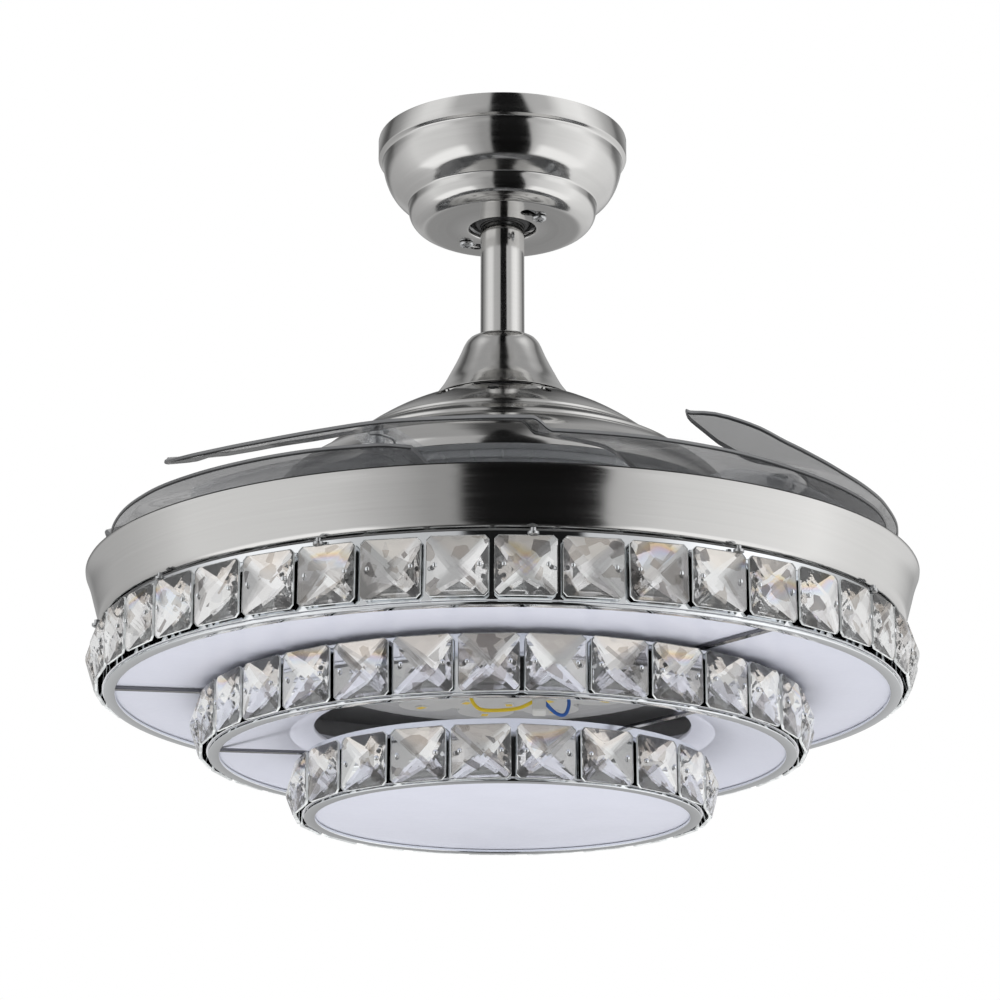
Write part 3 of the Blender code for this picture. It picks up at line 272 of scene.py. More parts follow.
# A white board's colour lowered to stand in for the shade it sits in: partly its own colour, partly painted
# shade.
speckled("board_white", (0.64, 0.64, 0.63), 0.38, spread=0.03, scale=400.0)
speckled("yellow_wire", (0.82, 0.60, 0.03), 0.38, spread=0.06, scale=600.0)
speckled("blue_wire", (0.03, 0.13, 0.48), 0.38, spread=0.1, scale=600.0)
# Opaque finishes for the smoke sheets' rounded edges: a lighter grey as painted light on the upper edge
# faces, near-black as painted shade on the lower ones.
smoke_painted_lit_edge = speckled("smoke_painted_lit_edge", (0.17, 0.172, 0.175), 0.20, spread=0.25, scale=120.0, bump=0.05)
smoke_painted_shaded_edge = speckled("smoke_painted_shaded_edge", (0.03, 0.031, 0.032), 0.20, spread=0.25, scale=120.0, bump=0.05)
# Cut glass whose grey and brown cells are painted reflections.
crystal_reflection_grey = cut("crystal_reflection_grey", (
    (0.0, (0.80, 0.79, 0.78)), (0.25, (0.62, 0.60, 0.58)), (0.45, (0.90, 0.89, 0.89)),
    (0.80, (0.42, 0.41, 0.40))), 110.0)
# Rainbow tints painted by height: painted split light.
crystal_fire = fire_glass("crystal_fire", (
    (0.56, (0.98, 0.98, 0.98)), (0.62, (0.80, 0.90, 0.99)), (0.68, (0.70, 0.76, 0.98)),
    (0.73, (0.82, 0.70, 0.84)), (0.77, (0.95, 0.74, 0.50)), (0.82, (0.97, 0.90, 0.66)),
    (0.88, (0.98, 0.98, 0.97))))
# The mirror coat's own silver, with brown and near-black cells as painted reflections.
foil_reflection_silver = cut("foil_reflection_silver", (
    (0.0, (0.98, 0.98, 0.98)), (0.70, (0.88, 0.88, 0.89)), (0.84, (0.70, 0.67, 0.64)),
    (0.92, (0.98, 0.98, 0.98)), (0.965, (0.30, 0.29, 0.29))), 150.0, COAT)
crystal_side = frosted("crystal_side", (0.86, 0.88, 0.87))
# The mirror coat with grey and brown cells as painted reflections.
foil_reflection_grey = cut("foil_reflection_grey", (
    (0.0, (0.86, 0.86, 0.86)), (0.30, (0.55, 0.52, 0.49)), (0.55, (0.80, 0.79, 0.80)),
    (0.75, (0.36, 0.34, 0.33)), (0.90, (0.95, 0.95, 0.96))), 120.0, COAT)
# A near-black metal finish that paints the shade of the gap along the band's top lip.
band_lip_shade = speckled("band_lip_shade", (0.05, 0.05, 0.05), 0.3, 1.0, scale=400.0)
spoke_steel = speckled("spoke_steel", (0.20, 0.20, 0.21), 0.15, 1.0, scale=300.0, bump=0.05)
chassis_mirror = brushed("chassis_mirror", (0.80, 0.80, 0.80), 0.22, streaks=0.2, aniso=0.3, metal=0.15)
phosphor = speckled("phosphor", (0.86, 0.62, 0.05), 0.45, spread=0.08, scale=800.0)


# Shape helpers

ON_AXIS = 1e-7


def put(name, mesh, body, slot, mats=None, hides=(), smooth=40.0):
    """Places a finished mesh on its body, with its finish and the CAD nodes it stands for."""
    piece = bpy.data.objects.new(name, mesh)
    scene.collection.objects.link(piece)
    for mat in mats or [finish[slot]]:
        mesh.materials.append(mat)
    mesh.shade_smooth()
    mesh.set_sharp_from_angle(angle=rad(smooth))
    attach(piece, body)
    if hides:
        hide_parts(*hides)
    return piece


def mesh_from(bm, name):
    bmesh.ops.recalc_face_normals(bm, faces=bm.faces)
    mesh = bpy.data.meshes.new(name)
    bm.to_mesh(mesh)
    bm.free()
    return mesh


def lathe_into(bm, points, steps, matrix=Matrix(), closed=True, turn=0.0):
    """Turns an outline of (radius, height) points round the vertical axis; closed joins its ends."""
    turns = [turn + math.tau * i / steps for i in range(steps)]
    rings = []
    for radius, z in points:
        if radius < ON_AXIS:
            rings.append([bm.verts.new(matrix @ Vector((0, 0, z)))])
        else:
            rings.append([bm.verts.new(matrix @ Vector((radius * math.cos(a), radius * math.sin(a), z)))
                          for a in turns])
    made = []
    pairs = list(zip(rings, rings[1:])) + ([(rings[-1], rings[0])] if closed else [])
    for first, second in pairs:
        if len(first) == 1 and len(second) == 1:
            continue
        for i in range(steps):
            j = (i + 1) % steps
            spots = ((first, i), (first, j), (second, j), (second, i))
            corners = list(dict.fromkeys(ring[spot % len(ring)] for ring, spot in spots))
            if len(corners) > 2:
                made.append(bm.faces.new(corners))
    return made


def lathe(name, points, steps, body, slot, hides=(), mats=None, matrix=Matrix(), smooth=32.0, turn=0.0):
    bm = bmesh.new()
    lathe_into(bm, points, steps, matrix, turn=turn)
    return put(name, mesh_from(bm, name), body, slot, mats, hides, smooth)


def curve_through(points, count):
    """Points of a smooth curve through the given ones, count to each stretch."""
    padded = [points[0]] + list(points) + [points[-1]]
    made = []
    for i in range(1, len(padded) - 2):
        a, b, c, d = (Vector(p) for p in padded[i - 1:i + 3])
        for j in range(count):
            s = j / count
            made.append(tuple(0.5 * (2 * b + (c - a) * s + (2 * a - 5 * b + 4 * c - d) * s * s
                                     + (3 * b - a - 3 * c + d) * s ** 3)))
    made.append(tuple(points[-1]))
    return made


def rounded(points, radius, count=4, closed=True):
    """The outline with each corner rounded; radius may be one size or one for each corner."""
    made = []
    total = len(points)
    for i, point in enumerate(points):
        size = radius[i] if isinstance(radius, (list, tuple)) else radius
        if size <= 0 or (not closed and i in (0, total - 1)):
            made.append(tuple(point))
            continue
        here, before, after = Vector(point), Vector(points[i - 1]), Vector(points[(i + 1) % total])
        size = min(size, (before - here).length * 0.45, (after - here).length * 0.45)
        start = here + (before - here).normalized() * size
        stop = here + (after - here).normalized() * size
        for j in range(count + 1):
            s = j / count
            made.append(tuple((1 - s) ** 2 * start + 2 * s * (1 - s) * here + s * s * stop))
    return made


def shell(points, wall):
    """The closed outline of a sheet whose outside follows the points, its thickness inside."""
    inner = []
    for i, point in enumerate(points):
        before, after = Vector(points[max(i - 1, 0)]), Vector(points[min(i + 1, len(points) - 1)])
        along = (after - before).normalized()
        inner.append((point[0] + along.y * wall, point[1] - along.x * wall))
    return list(points) + inner[::-1]


def mm(*points):
    return [(r * MM, z * MM) for r, z in points]


def boolean(piece, cutters):
    """Cuts the given meshes out of the piece."""
    for cutter in cutters:
        tool = bpy.data.objects.new("cutter", cutter)
        scene.collection.objects.link(tool)
        mod = piece.modifiers.new("cut", "BOOLEAN")
        mod.operation, mod.solver, mod.object = "DIFFERENCE", "EXACT", tool
        bpy.context.view_layer.update()
        result = bpy.data.meshes.new_from_object(piece.evaluated_get(bpy.context.evaluated_depsgraph_get()))
        piece.modifiers.clear()
        old, piece.data = piece.data, result
        bpy.data.meshes.remove(old)
        bpy.data.objects.remove(tool)


def block(size, matrix, bevel=0.0, into=None):
    """A box with its edges rounded by bevel, in a mesh of its own or into one that is given."""
    bm = bmesh.new() if into is None else into
    made = bmesh.ops.create_cube(bm, size=1.0)["verts"]
    bmesh.ops.scale(bm, vec=size, verts=made)
    if bevel:
        edges = list({e for v in made for e in v.link_edges})
        bands = bmesh.ops.bevel(bm, geom=edges, offset=bevel, segments=2, affect="EDGES")["faces"]
        made = list({w for band in bands for v in band.verts for f in v.link_faces for w in f.verts})
    bmesh.ops.transform(bm, matrix=matrix, verts=made)
    return bm


def peg(radius, height, matrix, steps=24):
    """A solid round bar with its middle at the matrix's place."""
    bm = bmesh.new()
    lathe_into(bm, [(0, height / 2), (radius, height / 2), (radius, -height / 2), (0, -height / 2)],
               steps, matrix, closed=False)
    return bm


def around(turn, radius=0.0, z=0.0):
    return Matrix.Rotation(turn, 4, "Z") @ Matrix.Translation((radius, 0.0, z))


def at(x, y, z):
    return Matrix.Translation((x, y, z))


def sweep_into(bm, points, radius, sides=12):
    """A round tube along the points, its ends closed."""
    places = [Vector(p) for p in points]
    rings, up = [], Vector((0, 0, 1))
    for i, place in enumerate(places):
        along = (places[min(i + 1, len(places) - 1)] - places[max(i - 1, 0)]).normalized()
        side = along.cross(up)
        side = side.normalized() if side.length > 1e-6 else Vector((1, 0, 0))
        up = side.cross(along).normalized()
        rings.append([bm.verts.new(place + radius * (math.cos(math.tau * j / sides) * side
                                                     + math.sin(math.tau * j / sides) * up))
                      for j in range(sides)])
    for first, second in zip(rings, rings[1:]):
        for j in range(sides):
            bm.faces.new((first[j], first[j - 1], second[j - 1], second[j]))
    bm.faces.new(rings[0])
    bm.faces.new(rings[-1])


# Camera

camera_data = bpy.data.cameras.new("camera")
camera_data.sensor_width = 36.0
camera_data.lens = 111.2
camera = bpy.data.objects.new("camera", camera_data)
camera.location = (-0.0015, -1.768, -0.754)
camera.rotation_euler = (rad(90 + 16.49), 0.0, 0.0)
scene.collection.objects.link(camera)
scene.camera = camera


# Studio: a room whose brightness follows the direction and the sort of ray, and five soft lamps

COOL = (0.97, 0.98, 1.0, 1.0)
WARM = (1.0, 0.93, 0.86, 1.0)


def studio():
    """What each sort of ray sees: angles are in degrees, side from the front, rise above level."""
    world = bpy.data.worlds.new("studio")
    scene.world = world
    world.use_nodes = True
    t = Tree(world.node_tree)
    x, y, z = t.add("ShaderNodeSeparateXYZ", {0: t.add("ShaderNodeTexCoord").outputs["Generated"]}).outputs
    turn = t.times(t.math("ARCTAN2", x, t.times(y, -1.0)), 180 / math.pi)
    rise = t.times(t.math("ARCSINE", z), 180 / math.pi)
    side = t.math("ABSOLUTE", turn)
    fall = t.times(rise, -1.0)

    middle = t.math("ADD", t.times(rise, -0.076), 6.9)
    half = t.math("ADD", t.times(rise, -0.09), 18.1)
    away = t.math("SUBTRACT", t.math("ABSOLUTE", t.math("SUBTRACT", turn, middle)), half)
    gap = t.step(away, 1.6, -1.6)

    def parted(value, depth, where):
        return t.times(value, t.math("SUBTRACT", 1.0, t.times(where, depth)))

    def glass_room():
        value = t.ramp(side, ((0, 0.34), (18, 0.36), (30, 0.53), (48, 0.84), (100, 0.90), (118, 0.80),
                              (150, 0.82), (166, 0.92), (180, 0.92)))
        top = t.mix(t.step(side, 80.0, 140.0), 0.70, 0.86)
        value = t.mix(t.step(rise, 50.0, 64.0), value, top)
        return t.mix(t.step(fall, 44.0, 58.0), value, 0.84)

    def mirror_room():
        below = t.ramp(side, ((0, 0.46), (20, 0.46), (29, 0.64), (45, 0.90), (58, 0.97), (93, 1.12),
                              (105, 0.95), (116, 0.85), (131, 0.78), (147, 0.68), (165, 0.62), (180, 0.34)))
        above = t.ramp(side, ((0, 0.56), (20, 0.60), (42, 0.66), (52, 1.0), (57, 1.14), (76, 1.20),
                              (94, 0.87), (107, 0.56), (123, 0.34), (128, 0.16), (156, 0.16), (162, 0.36),
                              (180, 0.34)))
        value = t.mix(t.step(rise, 4.0, 15.0), below, above)
        uneven = t.ramp(side, ((0, 0.05), (55, 0.05), (90, 0.12), (110, 0.20), (126, 0.26), (156, 0.26),
                               (166, 0.05), (180, 0.0)))
        lean = t.times(t.math("SIGN", turn), uneven)
        value = t.times(value, t.math("ADD", lean, 1.0))
        beside = t.times(t.step(side, 34.0, 44.0), t.step(side, 106.0, 96.0))
        spot = t.times(t.step(fall, 22.0, 32.0), beside)
        value = t.mix(spot, value, 1.35)
        high = t.math("MAXIMUM", t.step(rise, 50.0, 62.0),
                      t.times(t.step(rise, 8.0, 30.0), t.step(side, 130.0, 155.0)))
        stripe = t.step(t.math("ABSOLUTE", x), 0.06, 0.20, 0.07, 0.47)
        value = t.mix(high, value, stripe)
        value = t.mix(t.step(fall, 44.0, 58.0), value, 0.045)
        return parted(value, 0.985, t.times(gap, t.step(fall, 58.0, 50.0)))

    mirror = t.add("ShaderNodeBackground", {"Strength": mirror_room()})
    glass = t.add("ShaderNodeBackground", {"Strength": glass_room()})
    soft = t.add("ShaderNodeBackground", {"Color": COOL, "Strength": 0.66})
    plain = t.add("ShaderNodeBackground", {"Color": COOL, "Strength": 0.8})
    white = t.add("ShaderNodeBackground", {"Strength": 1.0})
    for node in (mirror, white):
        node.inputs[0].default_value = (1, 1, 1, 1)
    t.put(glass.inputs[0], t.mix_colour(t.step(fall, 8.0, 40.0), (1, 1, 1, 1), WARM))
    path = t.add("ShaderNodeLightPath")
    shader = soft.outputs[0]
    for flag, other in (("Is Glossy Ray", mirror), ("Is Transmission Ray", glass),
                        ("Diffuse Depth", plain), ("Is Camera Ray", white)):
        mixed = t.add("ShaderNodeMixShader", {0: path.outputs[flag], 1: shader, 2: other.outputs[0]})
        shader = mixed.outputs[0]
    output = t.add("ShaderNodeOutputWorld")
    t.tree.links.new(shader, output.inputs[0])


def soft_box(name, place, aim, size, power):
    data = bpy.data.lights.new(name, "AREA")
    data.shape, data.size, data.size_y, data.energy = "RECTANGLE", size, size, power
    lamp = bpy.data.objects.new(name, data)
    lamp.location = place
    lamp.rotation_euler = (Vector(aim) - Vector(place)).to_track_quat("-Z", "Y").to_euler()
    lamp.visible_glossy = False
    lamp.visible_transmission = False
    lamp.visible_camera = False
    scene.collection.objects.link(lamp)


studio()
soft_box("left_box", (-1.7, -1.6, -0.1), (0, 0, -0.3), 1.2, 9.0)
soft_box("right_box", (1.9, -1.3, -0.2), (0, 0, -0.3), 1.2, 11.0)
soft_box("top_box", (0.3, 0.8, 1.4), (0, 0, -0.3), 1.4, 8.0)
soft_box("under_box", (0, -0.4, -2.2), (0, 0, -0.3), 1.6, 15.0)
soft_box("inner_box", (0, 0, -0.3745), (0, 0, 0), 0.26, 0.085)

FLOOR_R, FLOOR_Z = 9.0, -2.4
bm = bmesh.new()
bmesh.ops.create_circle(bm, cap_ends=True, segments=96, radius=FLOOR_R)
bmesh.ops.transform(bm, matrix=at(0, 0, FLOOR_Z), verts=bm.verts)
floor_mesh = mesh_from(bm, "floor")
floor = bpy.data.objects.new("floor", floor_mesh)
floor_paint = speckled("floor_paint", (0.93, 0.93, 0.93), 0.8, spread=0.004, scale=8.0, bump=0.02)
floor_mesh.materials.append(floor_paint)
floor.visible_glossy = False
floor.visible_transmission = False
scene.collection.objects.link(floor)


# Canopy and downrod

CLEAR = 0.3 * MM
WALL = 1.2 * MM
canopy_line = mm((73.0, 0), (75.4, 0), (76.2, -0.4), (76.4, -1.2), (76.4, -12.2), (76.2, -12.8),
                 (75.5, -13.3), (74.5, -13.8), (73.9, -14.4), (73.7, -15.2))
canopy_line += curve_through(mm((73.65, -15.7), (73.2, -19.0), (71.9, -24.4), (69.7, -30.0), (66.3, -35.4),
                                (62.0, -39.6), (58.8, -42.3)), 5)
canopy_line += mm((58.1, -42.8), (57.85, -43.3))
canopy_line += curve_through(mm((57.8, -43.8), (57.4, -47.5), (56.1, -51.2), (53.7, -54.4), (50.5, -56.6),
                                (47.6, -57.8), (44.6, -58.0)), 4)
canopy_line += mm((35.0, -58.0), (22.2, -58.0), (20.9, -57.7), (20.5, -56.8), (20.5, -55.4))
canopy = lathe("canopy_shell", shell(canopy_line, WALL), 180, "hanger", "brushed_nickel", ["canopy"])
STRAP_TURN, SCREW_R = rad(-44.0), 31.0 * MM
holes = []
for side in (0, 1):
    place = around(STRAP_TURN + side * math.pi, SCREW_R, -58.0 * MM)
    holes.append(mesh_from(peg(4.8 * MM, 8 * MM, place @ at(0, -9.5 * MM, 0), 40), "key_round"))
    holes.append(mesh_from(peg(2.3 * MM, 8.6 * MM, place, 32), "key_end"))
    holes.append(mesh_from(block((4.6 * MM, 9.5 * MM, 8.3 * MM), place @ at(0, -4.75 * MM, 0)), "key_slot"))
boolean(canopy, holes)
canopy.data.set_sharp_from_angle(angle=rad(32))

for side in (0, 1):
    place = around(STRAP_TURN + side * math.pi, SCREW_R, -58.3 * MM)
    head = [(0, 13.5), (1.8, 13.5), (1.8, 0.0), (3.9, 0.0), (4.3, -0.25), (4.4, -0.7), (4.15, -1.5),
            (3.4, -2.15), (2.2, -2.5), (0, -2.6)]
    bm = bmesh.new()
    lathe_into(bm, mm(*head), 40, place, closed=False)
    piece = put(f"canopy_screw_head_{side + 1}", mesh_from(bm, "screw"), "hanger", "zinc_steel",
                hides=[f"canopy_screw_{side + 1}"])
    cross = [mesh_from(block((4.4 * MM, 0.9 * MM, 3.0 * MM), place @ Matrix.Rotation(rad(a), 4, "Z")
                             @ at(0, 0, -2.6 * MM)), "cross") for a in (20, 110)]
    boolean(piece, cross)

BALL_Z = -0.040


def ball_arc(radius, start, stop, count):
    """Points of an arc round the ball's middle, from one slope in degrees to another."""
    slopes = (rad(start + (stop - start) * i / count) for i in range(count + 1))
    return [(radius * MM * math.cos(a), BALL_Z + radius * MM * math.sin(a)) for a in slopes]


ball_line = ball_arc(22, 33.0, -46.6, 28) + mm((13.65, -56.0), (13.65, -28.0))
lathe("ball", ball_line, 72, "pendant", "black_plastic", ["hanger_ball"])
seat_line = ball_arc(24, -12, -38, 8) + ball_arc(22.3, -38, -12, 8)
lathe("ball_ring", seat_line, 72, "ball_seat", "black_rubber", ["ball_seat_ring"])

ROD = 13.35
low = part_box("downrod")[0].z / MM
rod_line = rounded(mm((ROD - 2, -30), (ROD, -30), (ROD, low), (ROD - 2, low)), 0.5 * MM)
lathe("rod", rod_line, 72, "pendant", "brushed_nickel", ["downrod"])

cover_line = mm((14.3, -129.5), (16.4, -129.1), (18.6, -129.4), (20.4, -130.4), (21.6, -131.7))
cover_line += curve_through(mm((22.4, -132.9), (23.6, -135.2), (25.8, -140.5), (28.9, -147.0), (32.2, -153.4),
                               (35.7, -159.9), (39.6, -165.4), (42.2, -168.7)), 5)
cover_line += mm((42.7, -169.2), (42.8, -169.5))
lathe("cone", shell(cover_line, WALL), 120, "pendant", "brushed_nickel", ["coupling_cover"])


# Turning dome, carrier and pivots

dome_line = mm((33.0, -173.0), (45.5, -173.1))
dome_line += curve_through(mm((47.0, -173.25), (50.0, -173.8), (55.0, -175.6), (62.0, -178.8), (71.3, -183.8),
                              (81.3, -190.2), (88.6, -195.5)), 5)
dome_line += mm((89.2, -196.0), (89.5, -196.6), (89.6, -197.5), (89.9, -198.1), (90.5, -198.5))
dome_line += curve_through(mm((91.0, -198.7), (100.0, -203.1), (108.0, -207.3)), 5)
dome_line += mm((108.8, -207.8), (109.1, -208.4), (109.2, -209.5), (109.5, -210.1), (110.1, -210.5))
dome_line += curve_through(mm((110.8, -210.8), (120.0, -216.0), (129.0, -222.6), (135.2, -229.6)), 5)
dome_line += mm((136.8, -232.4), (137.7, -234.6), (138.0, -236.6), (138.0, -238.2))
dome = lathe("dome", shell(dome_line, WALL), 180, "rotor", "brushed_nickel", ["motor_cover"])
VENTS, VENT_R, VENT_START = 14, 67.0 * MM, 0.325
vents = []
for i in range(VENTS):
    place = around(math.tau * (i + VENT_START) / VENTS, VENT_R, -181.0 * MM)
    vents.append(mesh_from(block((14.5 * MM, 6.2 * MM, 24 * MM), place, 1.6 * MM), "vent"))
boolean(dome, vents)
dome.data.set_sharp_from_angle(angle=rad(32))

PIVOT = 0.172
pivot_turns = [rad(-23.5 + 90 * k) for k in range(4)]
LOBE = 0.0125


def extruded(bm, outlines, low, high):
    """A flat plate between two heights: the first outline is its edge, the others are holes."""
    loops = []
    for z in (low, high):
        edges, rings = [], []
        for outline in outlines:
            ring = [bm.verts.new((x, y, z)) for x, y in outline]
            edges += [bm.edges.new((ring[i - 1], ring[i])) for i in range(len(ring))]
            rings.append(ring)
        bmesh.ops.triangle_fill(bm, edges=edges, use_beauty=True)
        loops.append(rings)
    for first, second in zip(*loops):
        for i in range(len(first)):
            bm.faces.new((first[i - 1], first[i], second[i], second[i - 1]))


def carrier_outline(rim=0.138, lobe=LOBE):
    """The carrier's edge: a round rim with a lobe over each pivot."""
    half = math.asin(lobe / rim)
    points = []
    for turn in pivot_turns:
        cx, cy = PIVOT * math.cos(turn), PIVOT * math.sin(turn)
        points += [(cx + lobe * math.cos(a), cy + lobe * math.sin(a))
                   for a in (turn - math.pi / 2 + math.pi * i / 16 for i in range(17))]
        span = math.pi / 2 - 2 * half
        points += [(rim * math.cos(a), rim * math.sin(a))
                   for a in (turn + half + span * i / 28 for i in range(29))]
    return points


def circle(x, y, radius, count):
    return [(x + radius * math.cos(math.tau * i / count), y + radius * math.sin(math.tau * i / count))
            for i in range(count)]


carrier_top, carrier_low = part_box("blade_carrier")[1].z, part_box("blade_carrier")[0].z
bm = bmesh.new()
HUB_R, RIVET_HOLE_R = 0.0692, 4.0 * MM
RING_DEPTH, RING_WIDTH = 4.0 * MM, 1.6 * MM
SPOKES = 48
outlines = [carrier_outline(), circle(0, 0, HUB_R, 64)]
outlines += [circle(PIVOT * math.cos(a), PIVOT * math.sin(a), RIVET_HOLE_R, 20) for a in pivot_turns]
extruded(bm, outlines, carrier_low, carrier_top)
rib = carrier_low + 0.2 * MM
for radius in (0.1355, 0.120, 0.100):
    inside, foot = radius - RING_WIDTH, rib - RING_DEPTH
    lathe_into(bm, [(radius, rib), (radius, foot), (inside, foot), (inside, rib)], 120)
for i in range(SPOKES):
    if i % 12 not in (2, 3):
        place = around(math.tau * i / SPOKES, 0.1275, rib - 1.8 * MM)
        block((14 * MM, 1.3 * MM, 3.6 * MM), place, into=bm)
for turn in pivot_turns:
    for offset in (-8.0, 8.0):
        place = around(turn, 0.153, rib - 1.6 * MM) @ at(0, offset * MM, 0)
        block((36 * MM, 1.8 * MM, 3.2 * MM), place, into=bm)
put("carrier_plate", mesh_from(bm, "carrier_plate"), "rotor", "clear_plastic", hides=["blade_carrier"])

low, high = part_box("blade_pivot_1")
top, foot = high.z / MM, low.z / MM
pin = mm((0, top), (3.0, top - 0.15), (5.2, top - 0.8), (6.5, top - 1.9), (6.5, top - 2.2), (3.7, top - 2.2),
         (3.7, foot + 1.5), (6.0, foot + 1.5), (6.0, foot + 1.2), (4.4, foot + 0.3), (0, foot))
for k, turn in enumerate(pivot_turns):
    bm = bmesh.new()
    lathe_into(bm, pin, 40, around(turn, PIVOT), closed=False)
    put(f"rivet_{k + 1}", mesh_from(bm, "rivet"), "rotor", "zinc_steel", hides=[f"blade_pivot_{k + 1}"])

low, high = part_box("blade_spring_1")
wire, COIL_R = 0.7 * MM, 9.5 * MM
for k, turn in enumerate(pivot_turns):
    bm = bmesh.new()
    centre = around(turn, PIVOT)
    route = []
    for i in range(73):
        angle = math.tau * i / 24
        height = high.z - wire + (low.z - high.z + 2 * wire) * i / 72
        route.append(centre @ Vector((COIL_R * math.cos(angle), COIL_R * math.sin(angle), height)))
    sweep_into(bm, route, wire, 10)
    put(f"coil_{k + 1}", mesh_from(bm, "coil"), "rotor", "zinc_steel", hides=[f"blade_spring_{k + 1}"])


# Blades and their clear brackets

ARC, FIRST_TIP = rad(140.0), rad(-152.6)
ROOT_Z = -0.2620
SHEET, BORE_R = 1.25 * MM, 7.3 * MM
# Share of the blade's length, radii of its outer and inner edge, heights of the two in mm
EDGES = (
    (0.0, 215.6, 213.2, -237.6, -236.5), (0.006, 215.4, 209.1, -238.9, -237.2),
    (0.015, 216.8, 204.2, -240.0, -237.3), (0.030, 220.8, 200.2, -241.4, -237.6),
    (0.045, 225.1, 199.3, -244.1, -237.9), (0.065, 229.9, 200.4, -248.4, -239.4),
    (0.100, 233.6, 200.5, -252.2, -242.9), (0.157, 231.6, 199.4, -253.6, -245.3),
    (0.214, 230.5, 196.8, -254.3, -245.9), (0.271, 229.8, 190.7, -253.9, -243.6),
    (0.329, 230.3, 182.9, -253.2, -239.6), (0.400, 233.5, 171.8, -254.6, -235.4),
    (0.474, 235.2, 159.4, -255.0, -232.4), (0.494, 231.6, 155.3, -260.6, -237.9),
    (0.600, 230.9, 150.0, -260.8, -240.9), (0.660, 230.1, 148.5, -260.9, -251.0),
    (0.730, 230.0, 147.5, -262.0, -260.2), (0.800, 232.0, 147.1, -263.9, -262.0),
    (0.900, 233.0, 147.1, -265.2, -262.0), (0.971, 230.4, 150.0, -265.8, -262.0),
    (1.0, 222.0, 157.9, -265.6, -262.0))


def monotone(table, column):
    """A smooth curve through a table's column that never swings past its values."""
    xs = [row[0] for row in table]
    ys = [row[column] for row in table]
    slopes = [(ys[i + 1] - ys[i]) / (xs[i + 1] - xs[i]) for i in range(len(xs) - 1)]
    tangents = [slopes[0]]
    for a, b in zip(slopes, slopes[1:]):
        tangents.append(0.0 if a * b <= 0 else 2 * a * b / (a + b))
    tangents.append(slopes[-1])

    def value(x):
        i = max(j for j in range(len(xs) - 1) if xs[j] <= x or j == 0)
        h = xs[i + 1] - xs[i]
        s = min(max((x - xs[i]) / h, 0.0), 1.0)
        return ((1 + 2 * s) * (1 - s) ** 2 * ys[i] + s * (1 - s) ** 2 * h * tangents[i]
                + s * s * (3 - 2 * s) * ys[i + 1] + s * s * (s - 1) * h * tangents[i + 1])
    return value


# Blade 2 is bent more at its tip: share of its length, rise of its outer and of its inner edge in mm
TIP_BEND = (
    (0.0, 0.0, -0.4), (0.006, 1.2, -0.3), (0.015, 2.8, -0.4), (0.030, 3.4, -1.2), (0.045, 3.8, -4.2),
    (0.065, 4.6, -7.8), (0.100, 2.2, -8.2), (0.157, 0.9, -3.8), (0.214, 0.0, 0.0), (1.0, 0.0, 0.0))

outer_at, inner_at, outer_z, inner_z = (monotone(EDGES, column) for column in (1, 2, 3, 4))
outer_bend, inner_bend = (monotone(TIP_BEND, column) for column in (1, 2))


def blade_edges(share):
    return outer_at(share) * MM, inner_at(share) * MM


def blade_height(share, radius, bend=0.0):
    """The middle of the sheet at a radius; bend is how much of the tip's own bend it has."""
    outer, inner = blade_edges(share)
    across = (outer - radius) / (outer - inner)
    high = outer_z(share) + outer_bend(share) * bend
    low = inner_z(share) + inner_bend(share) * bend
    return (high + (low - high) * across) * MM


EDGE_SLOPES = (rad(60), rad(20), rad(-20), rad(-60))


def loft_plate(bm, shares, edges, half, height, chords=10, turn0=0.0):
    """A curved plate with rounded edges; returns its upper edge faces, for painted light, and its lower edge
    faces, for painted shade.
    """
    rims = []
    for share in shares:
        outer, inner = edges(share)
        width = outer - inner
        edge = min(half * 0.9, width * 0.3)
        flat = width - 2 * edge
        across = [(outer - edge + edge * math.cos(a), math.sin(a)) for a in EDGE_SLOPES]
        across += [(outer - edge - flat * i / chords, -1.0) for i in range(chords + 1)]
        across += [(inner + edge - edge * math.cos(a), math.sin(a)) for a in EDGE_SLOPES[::-1]]
        across += [(inner + edge + flat * i / chords, 1.0) for i in range(chords + 1)]
        angle = turn0 + share * ARC
        rims.append([bm.verts.new((r * math.cos(angle), r * math.sin(angle), height(share, r) + side * half))
                     for r, side in across])
    lit_edge_faces, shaded_edge_faces = [], []
    count = len(rims[0])
    far = 4 + chords
    for first, second in zip(rims, rims[1:]):
        for j in range(count):
            face = bm.faces.new((first[j - 1], first[j], second[j], second[j - 1]))
            if j in (3, 4, far + 1, far + 2):
                shaded_edge_faces.append(face)
            elif j in (0, 1, 2, far + 3, far + 4, far + 5):
                lit_edge_faces.append(face)
    lit_edge_faces += [bm.faces.new(rims[0]), bm.faces.new(rims[-1])]
    return lit_edge_faces, shaded_edge_faces


def blade_shares():
    """Where the blade is cut along its length, closer at its ends and at its step."""
    made = [0.0, 0.004, 0.010, 0.018, 0.028]
    made += [0.04 + i * 0.01 for i in range(43)]
    made += [0.469 + i * 0.003 for i in range(11)]
    made += [0.507 + i * 0.01 for i in range(44)]
    made += [0.955, 0.963, 0.971, 0.979, 0.987, 0.994, 1.0]
    return made


